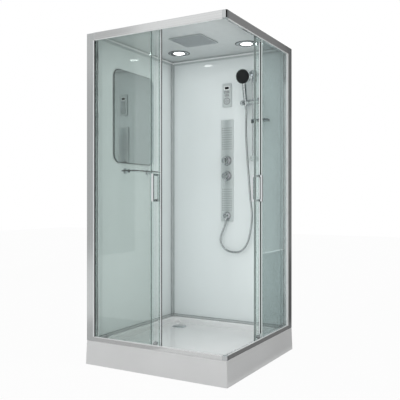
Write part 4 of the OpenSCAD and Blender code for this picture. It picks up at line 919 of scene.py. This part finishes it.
strips = {  # the strip's box as (from, to) in x, y and z, in mm; finish and slot
    # glazing beads, white as painted highlight where the rail lips catch light
    "glazingFrontTop": (frontRun, frontDepth, highBead, *vinyl),
    "glazingFrontLow": (frontRun, frontDepth, lowBead, *vinyl),
    # front post: a dark strip of painted shadow in the seam, a white strip of painted highlight on its edge
    "glazingFrontPost": ((-440.4, -434.6), (-499.0, -497.0), between, *rubber),
    "glazingFrontLip": ((-448.4, -440.6), (-500.8, -499.6), between, *vinyl),
    "glazingSideTop": (sideDepth, sideRun, highBead, *vinyl),
    "glazingSideLow": (sideDepth, sideRun, lowBead, *vinyl),
    "glazingSidePost": (sideDepth, (424.0, 440.4), between, *vinyl),
    # under the ceiling: white strips of painted highlight along the trims
    "ceilingBeadBack": (backRun, (walls["trim"] - 3, walls["trim"]), ceilingHighlightRise, *vinyl),
    "ceilingBeadLeft": ((-walls["trim"], 3 - walls["trim"]), leftRun, ceilingHighlightRise, *vinyl),
    "sealantBackLow": (backRun, (walls["trim"] - 1.8, walls["trim"]), lowSeal, *sealant),
    "sealantLeftLow": ((-walls["trim"], 1.8 - walls["trim"]), leftRun, lowSeal, *sealant),
    "sealantBackHigh": (backRun, (walls["panel"] - 6.4, walls["panel"]), highSeal, *sealant),
    "sealantLeftHigh": ((-walls["panel"], 6.4 - walls["panel"]), leftRun, highSeal, *sealant),
}
for name, (xs, ys, zs, finish, slot) in strips.items():
    low, high = (Vector(corner) for corner in zip(xs, ys, zs))
    size = high - low
    along = max(range(3), key=lambda axis: size[axis])
    others = [axis for axis in range(3) if axis != along]
    reach = Vector([size[axis] / 2 if axis == along else 0 for axis in range(3)])
    mesh = growMesh(name, beadAlong,
                    {"Start": -reach * mm, "End": reach * mm, "Width": size[others[0]] * mm,
                     "Height": size[others[1]] * mm, "Material": finish})
    grown = max(v.co[others[0]] for v in mesh.vertices) * 2
    if abs(grown - size[others[0]] * mm) > 1e-5:  # the sweep laid the section the other way round
        mesh.transform(Matrix.Rotation(radians(90), 4, Vector([float(axis == along) for axis in range(3)])))
    mesh.transform(Matrix.Translation((low + high) / 2 * mm))
    finishPiece(name, mesh, finish, "cabin", slot)
print("strips laid")

# screws: pan heads with a hexagon socket, in rows on the posts and the roof's flange
screw = {"radius": 4.2, "rise": 2.0, "socket": 1.9, "depth": 1.4, "sides": 12}


def screwHead():
    bm = bmesh.new()
    sides = screw["sides"]
    levels = [(screw["radius"], -0.2), (screw["radius"], screw["rise"] * 0.45),
              (screw["radius"] * 0.86, screw["rise"] * 0.85), (screw["radius"] * 0.62, screw["rise"]),
              (screw["socket"], screw["rise"]), (screw["socket"], screw["rise"] - screw["depth"])]
    rings = []
    for level, (radius, height) in enumerate(levels):
        rings.append([])
        for k in range(sides):
            reach, turn = radius * (cos(pi / 6) if level > 3 and k % 2 else 1), 2 * pi * k / sides
            rings[-1].append(bm.verts.new(Vector((reach * cos(turn), reach * sin(turn), height)) * mm))
    for one, other in zip(rings, rings[1:]):
        for k in range(sides):
            n = (k + 1) % sides
            bm.faces.new((one[k], one[n], other[n], other[k]))
    bm.faces.new(rings[-1])
    bm.faces.new(list(reversed(rings[0])))
    head = bpy.data.objects.new("screwHead", meshFrom(bm, "screwHead"))
    scene.collection.objects.link(head)
    return head


head = screwHead()
rows = {  # start and step in mm, count, turn that points the head outwards
    "leftPost": ((-500, -478, 200), (0, 0, 370), 6, (0, -90, 0)),
    "rearPostLeft": ((-500, 476, 200), (0, 0, 370), 6, (0, -90, 0)),
    "rearPostBack": ((-476, 500, 200), (0, 0, 370), 6, (-90, 0, 0)),
    "rightPost": ((478, 500, 200), (0, 0, 370), 6, (-90, 0, 0)),
    "roofFront": ((-400, -471, 2103), (160, 0, 0), 6, (0, 0, 0)),
    "roofSide": ((471, -400, 2103), (0, 160, 0), 6, (0, 0, 0)),
}
meshes = []
for name, (start, step, count, turn) in rows.items():
    meshes.append(growMesh(name, partRow,
                           {"Start": Vector(start) * mm, "Step": Vector(step) * mm, "Count": count,
                            "Turn": [radians(a) for a in turn], "Part": head, "Material": chrome}))
finishPiece("frameScrews", joinMeshes("frameScrews", meshes), chrome, "cabin", "chrome")
bpy.data.objects.remove(head)
print("screws set")


def studio():
    world = bpy.data.worlds.new("studio")
    scene.world = world
    world.use_nodes = True
    tree = world.node_tree
    tree.nodes.clear()
    path = addNode(tree, "ShaderNodeLightPath")
    seen = addNode(tree, "ShaderNodeMath", {".operation": "MAXIMUM"},
                   {0: path.outputs["Is Camera Ray"], 1: path.outputs["Is Glossy Ray"]})
    shown = addNode(tree, "ShaderNodeMath", {".operation": "MAXIMUM"},
                    {0: seen, 1: path.outputs["Is Transmission Ray"]})
    soft = addNode(tree, "ShaderNodeBackground", {"Color": (1, 1, 1, 1), "Strength": 0.61})
    white = addNode(tree, "ShaderNodeBackground", {"Color": (1, 1, 1, 1), "Strength": 1.0})
    both = addNode(tree, "ShaderNodeMixShader", links={0: shown, 1: soft, 2: white})
    addNode(tree, "ShaderNodeOutputWorld", links={"Surface": both})

    lamps = {  # place, aim, width, height, watts
        "softFront": ((0.2, -5.5, 2.2), (0, 0, 1.1), 4.0, 4.0, 51),
        "insideTop": ((0.03, -0.03, 2.085), (0.03, -0.03, 0), 0.66, 0.66, 1.2),
        "insideFront": ((0, -0.43, 1.1), (0, 1, 1.1), 0.84, 1.8, 1.7),
        "insideSide": ((0.43, 0, 1.1), (-1, 0, 1.1), 0.84, 1.8, 2.7),
    }
    for name, (place, aim, wide, tall, watts) in lamps.items():
        data = bpy.data.lights.new(name, "AREA")
        data.shape = "RECTANGLE"
        data.size, data.size_y = wide, tall
        data.energy = watts
        lamp = bpy.data.objects.new(name, data)
        lamp.location = place
        lamp.rotation_euler = (Vector(aim) - Vector(place)).to_track_quat("-Z", "Y").to_euler()
        lamp.visible_camera = lamp.visible_glossy = lamp.visible_transmission = False
        scene.collection.objects.link(lamp)

    # grey cards that only mirrors and glass show: they give the metal its darker reflections
    cards = {  # from and to in x, y and z, tone; each lies flat in one of the three
        "cardDark": ((3.6, 3.6), (-2.7, 0.8), (0.02, 8), "#1c1c1c"),
        "cardGrip": ((3.58, 3.58), (3.6, 5.7), (0.8, 1.45), "#2a2a2a"),
        "cardRight": ((3.6, 3.6), (0.8, 8.45), (0.02, 8), "#939393"),
        "cardFarRight": ((3.6, 3.6), (8.45, 15), (0.02, 8), "#646464"),
        "cardLeftLow": ((-5, -5), (-7.2, 1), (0.02, 3.2), "#c4c4c4"),
        "cardLeftHigh": ((-5, -5), (-7.2, 1), (3.2, 6), "#d4d4d4"),
        "cardBehindLeft": ((-5, -5), (1, 8.5), (0.02, 6), "#262626"),
        "cardBack": ((-9, 3.5), (9, 9), (2.9, 9), "#202020"),
        "cardGround": ((0.53, 0.98), (-0.4, 1.35), (0.004, 0.004), "#808080"),
        "cardGroundFront": ((-1.4, -0.3), (-1.7, -0.56), (0.004, 0.004), "#c7c7c7"),
        "cardGroundBehind": ((0.53, 0.98), (1.35, 15), (0.004, 0.004), "#646464"),
        "cardGroundFar": ((0.98, 3.6), (-0.4, 15), (0.004, 0.004), "#646464"),
    }
    turns = ((0, 0), (1, 0), (1, 1), (0, 1))
    for name, (xs, ys, zs, tone) in cards.items():
        card = bpy.data.meshes.new(name)
        if xs[0] == xs[1]:
            corners = [(xs[0], ys[a], zs[b]) for a, b in turns]
        elif ys[0] == ys[1]:
            corners = [(xs[a], ys[0], zs[b]) for a, b in turns]
        else:
            corners = [(xs[a], ys[b], zs[0]) for a, b in turns]
        card.from_pydata(corners, [], [(0, 1, 2, 3)])
        paint, tree = newMaterial(name)
        glow = addNode(tree, "ShaderNodeEmission", {"Color": toLinear(tone), "Strength": 1.0})
        addNode(tree, "ShaderNodeOutputMaterial", links={"Surface": glow})
        card.materials.append(paint)
        board = bpy.data.objects.new(name, card)
        board.visible_camera = board.visible_diffuse = board.visible_shadow = False
        scene.collection.objects.link(board)


def paleFloor():
    mesh = bpy.data.meshes.new("floor")
    far = 14
    mesh.from_pydata([(-far, -far, 0), (far, -far, 0), (far, far, 0), (-far, far, 0)], [], [(0, 1, 2, 3)])
    material, tree, place = patternedMaterial("paleFloor")
    tone = clouded(tree, place, 330, [(0.3, "#ececec"), (0.7, "#f0f0f0")])
    matt = addNode(tree, "ShaderNodeBsdfPrincipled", {"Roughness": 0.7}, {"Base Color": tone})
    path = addNode(tree, "ShaderNodeLightPath")
    seen = addNode(tree, "ShaderNodeMath", {".operation": "MAXIMUM"},
                   {0: path.outputs["Is Camera Ray"], 1: path.outputs["Is Transmission Ray"]})
    shown = addNode(tree, "ShaderNodeMath", {".operation": "MAXIMUM"},
                    {0: seen, 1: path.outputs["Is Glossy Ray"]})
    share = addNode(tree, "ShaderNodeMath", {".operation": "MULTIPLY", 1: 0.95}, {0: shown})
    # what mirrors see of the floor is a little greyer than what the camera sees
    bright = addNode(tree, "ShaderNodeMapRange", {"To Min": 0.84, "To Max": 1.0}, {"Value": seen})
    glow = addNode(tree, "ShaderNodeEmission", {"Color": (1, 1, 1, 1)}, {"Strength": bright})
    both = addNode(tree, "ShaderNodeMixShader", links={0: share, 1: matt, 2: glow})
    addNode(tree, "ShaderNodeOutputMaterial", links={"Surface": both})
    mesh.materials.append(material)
    floor = bpy.data.objects.new("floor", mesh)
    scene.collection.objects.link(floor)


studio()
paleFloor()
print("studio lit")
